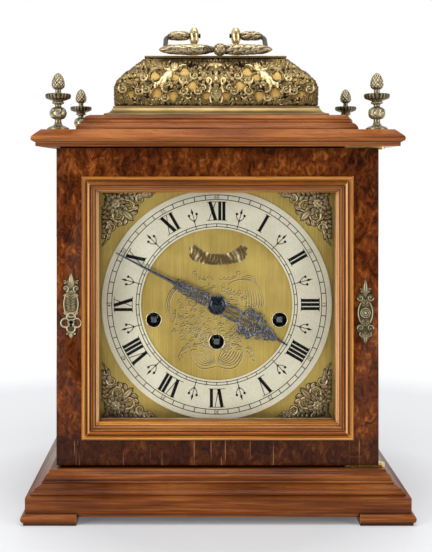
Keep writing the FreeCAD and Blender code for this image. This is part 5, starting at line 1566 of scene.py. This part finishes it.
MINUTE_ANGLE, HOUR_ANGLE = 297.4, 119.8
blued_light = plain_brass("blued_steel_worn", (0.020, 0.021, 0.027), (0.24, 0.24, 0.27), 0.2, 0.95,
                          grain=900)
flat = mid_plane("minute_hand")
shapes = [([(0, 34), (0, 60), (0, 91.8)], 1.6, False, 0.55), ([(0, 6), (0, 36)], 0.55),
          (ring_of(0, 0, 6.0, 32), 1.3, True)]
for index in range(7):
    z = 9.6 + 4.1 * index
    size = 2.5 - 0.18 * index
    for side in (-1, 1):
        shapes += [(ring_of(side * (size - 0.2), z, size), 0.55, True),
                   (swirl(side * (size + 1.6), z + 2.0, 1.5, 0.4, 0, side * 400, 14), 0.42),
                   (bow(0, z - 1.8, side * (size + 2.4), z + 0.4, side * 0.8, 6), 0.42, False, 0.3)]
shapes.append((ring_of(0, 37.6, 1.5), 0.6, True))
finished_hand("minute_hand_pierced", saw_out(shapes, MINUTE_ANGLE, flat), "minute_hand", ["minute_hand"],
              flat, 0.53, blued_light)
print("minute hand sawn from", len(shapes), "strips")

flat = mid_plane("hour_hand")
shapes = [(ring_of(0, 0, 6.9, 36), 1.3, True), ([(0, 48), (0, 57), (0, 65.8)], 1.7, False, 0.5)]
for side in (-1, 1):
    shapes += [(sided(bow(3.2, 7.0, 1.3, 24.0, -2.6, 14), side), 0.95),
               (sided(bow(1.2, 9.0, 2.6, 23.0, 0.9, 12), side), 0.5),
               (sided(bow(1.3, 22.0, 7.0, 31.8, -3.2, 14), side), 0.9),
               (ring_of(side * 7.4, 27.4, 3.4), 0.75, True),
               (ring_of(side * 7.4, 27.4, 1.5), 0.5, True),
               (swirl(side * 9.6, 34.2, 2.6, 0.6, 180, side * 430), 0.95),
               (ring_of(side * 3.4, 34.2, 2.6), 0.7, True),
               (sided(bow(8.4, 36.6, 1.2, 44.0, 2.4, 14), side), 0.85),
               (ring_of(side * 5.6, 40.8, 2.2), 0.75, True),
               (swirl(side * 4.0, 46.6, 2.3, 0.5, 200, side * 420), 0.8),
               (sided(bow(5.0, 49.0, 0.6, 56.0, 1.4, 10), side), 0.8, False, 0.5)]
shapes += [([(0, 22), (0, 48)], 0.75), (ring_of(0, 42.5, 2.0), 0.7, True),
           (ring_of(0, 52.4, 2.4), 0.8, True)]
finished_hand("hour_hand_pierced", saw_out(shapes, HOUR_ANGLE, flat), "hour_hand", ["hour_hand"],
              flat, 0.58, blued_light)
print("hour hand sawn from", len(shapes), "strips")

# %% [markdown]
# A domed nut, nearly black and highly polished, holds the hands. It has a stepped rim.

# %% Hand nut
nut_low, nut_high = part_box("hand_nut")
nut_tall = (nut_high.y - nut_low.y) / MM
NUT = [(0, 0), (7.2, 0), (7.25, 0.5), (6.6, 0.9), (6.2, 0.95), (5.6, 1.5), (4.4, 2.1),
       (2.6, nut_tall - 0.25), (0, nut_tall)]
nut = lathe("hand_nut_polished", NUT, lambda a, z, r: 0 * a, 56, 3.0)
nut.rotation_euler = (UPRIGHT, 0, 0)
nut.location = (centre[0], nut_high.y, centre[1])
nut_steel = plain_brass("polished_blue_black", (0.014, 0.016, 0.022), (0.020, 0.023, 0.032),
                        0.12, 0.8, grain=40, depth=0.0)
paint(nut, nut_steel)
smooth(nut, 40)
fit(nut, "minute_hand", "blued_steel", "hand_nut")

# %% [markdown]
# Below XII a blank ribbon hangs in folds, with its forked ends thrown up at both sides. It is a
# strip of grid: folds run across it, and their shade comes from the same relief attribute.

# %% Ribbon
RIB_COLUMNS, RIB_ROWS = 132, 22
t = np.linspace(-1, 1, RIB_COLUMNS)
across = np.linspace(0, 1, RIB_ROWS)
tip = np.clip((np.abs(t) - 0.86) / 0.14, 0, 1)
low_edge = 31.8 + 5.2 * np.abs(t) ** 2.4 + 2.5 * tip
high_edge = 41.0 + 7.4 * np.clip((np.abs(t) - 0.28) / 0.5, 0, 1) ** 1.3 - 3.0 * tip
notch = 1.8 * np.clip((np.abs(t) - 0.9) / 0.1, 0, 1)
rib_u = 1.3 + 23.9 * t[:, None] - np.sign(t[:, None]) * notch[:, None] * (1 - np.abs(2 * across[None, :] - 1))
rib_v = low_edge[:, None] + (high_edge - low_edge)[:, None] * across[None, :]
lean = t[:, None] + 0.16 * np.sign(t[:, None]) * (across[None, :] - 0.5) + 0.015 * np.sin(9 * across[None, :])
# Each fold: where it lies along the ribbon, its width, and how far it stands up.
FOLDS = ((-0.94, 0.05, 1.0), (-0.81, 0.02, 0.6), (-0.70, 0.05, 1.0), (-0.57, 0.02, 0.8),
         (-0.43, 0.035, 1.0), (-0.30, 0.015, 0.5), (-0.16, 0.015, 0.6), (-0.05, 0.012, 0.4),
         (0.07, 0.015, 0.7), (0.16, 0.012, 0.5), (0.28, 0.015, 0.4), (0.41, 0.035, 1.0),
         (0.55, 0.02, 0.7), (0.66, 0.05, 1.0), (0.79, 0.02, 0.6), (0.92, 0.05, 1.0))
folds = np.max([tall * np.exp(-((lean - where) / wide) ** 2) for where, wide, tall in FOLDS], axis=0)
edge = np.minimum(across, 1 - across)[None, :] * 8
sway = 0.55 + 0.45 * np.sin(5 * across[None, :] + 9 * t[:, None])
bulk = 0.34 + 0.80 * folds * sway + 0.25 * np.exp(-(edge / 0.6) ** 2)
rib_y = dial_face / MM - 0.06 - 0.45 * bulk
rib_corners = np.stack([(centre[0] / MM + rib_u).ravel(), rib_y.ravel(),
                        (centre[1] / MM + rib_v).ravel()], 1)
rib = relief_mesh("dial_ribbon", rib_corners, grid(RIB_ROWS, RIB_COLUMNS), bulk.ravel(), 1.35)
face_outwards(rib)
ribbon_brass = chased_brass("ribbon_brass", (0.120, 0.080, 0.028), (0.40, 0.29, 0.125), (0.95, 0.85, 0.58),
                            0.34, 0.28, 0.95)
paint(rib, ribbon_brass)
fit(rib, "case", "dial_brass")
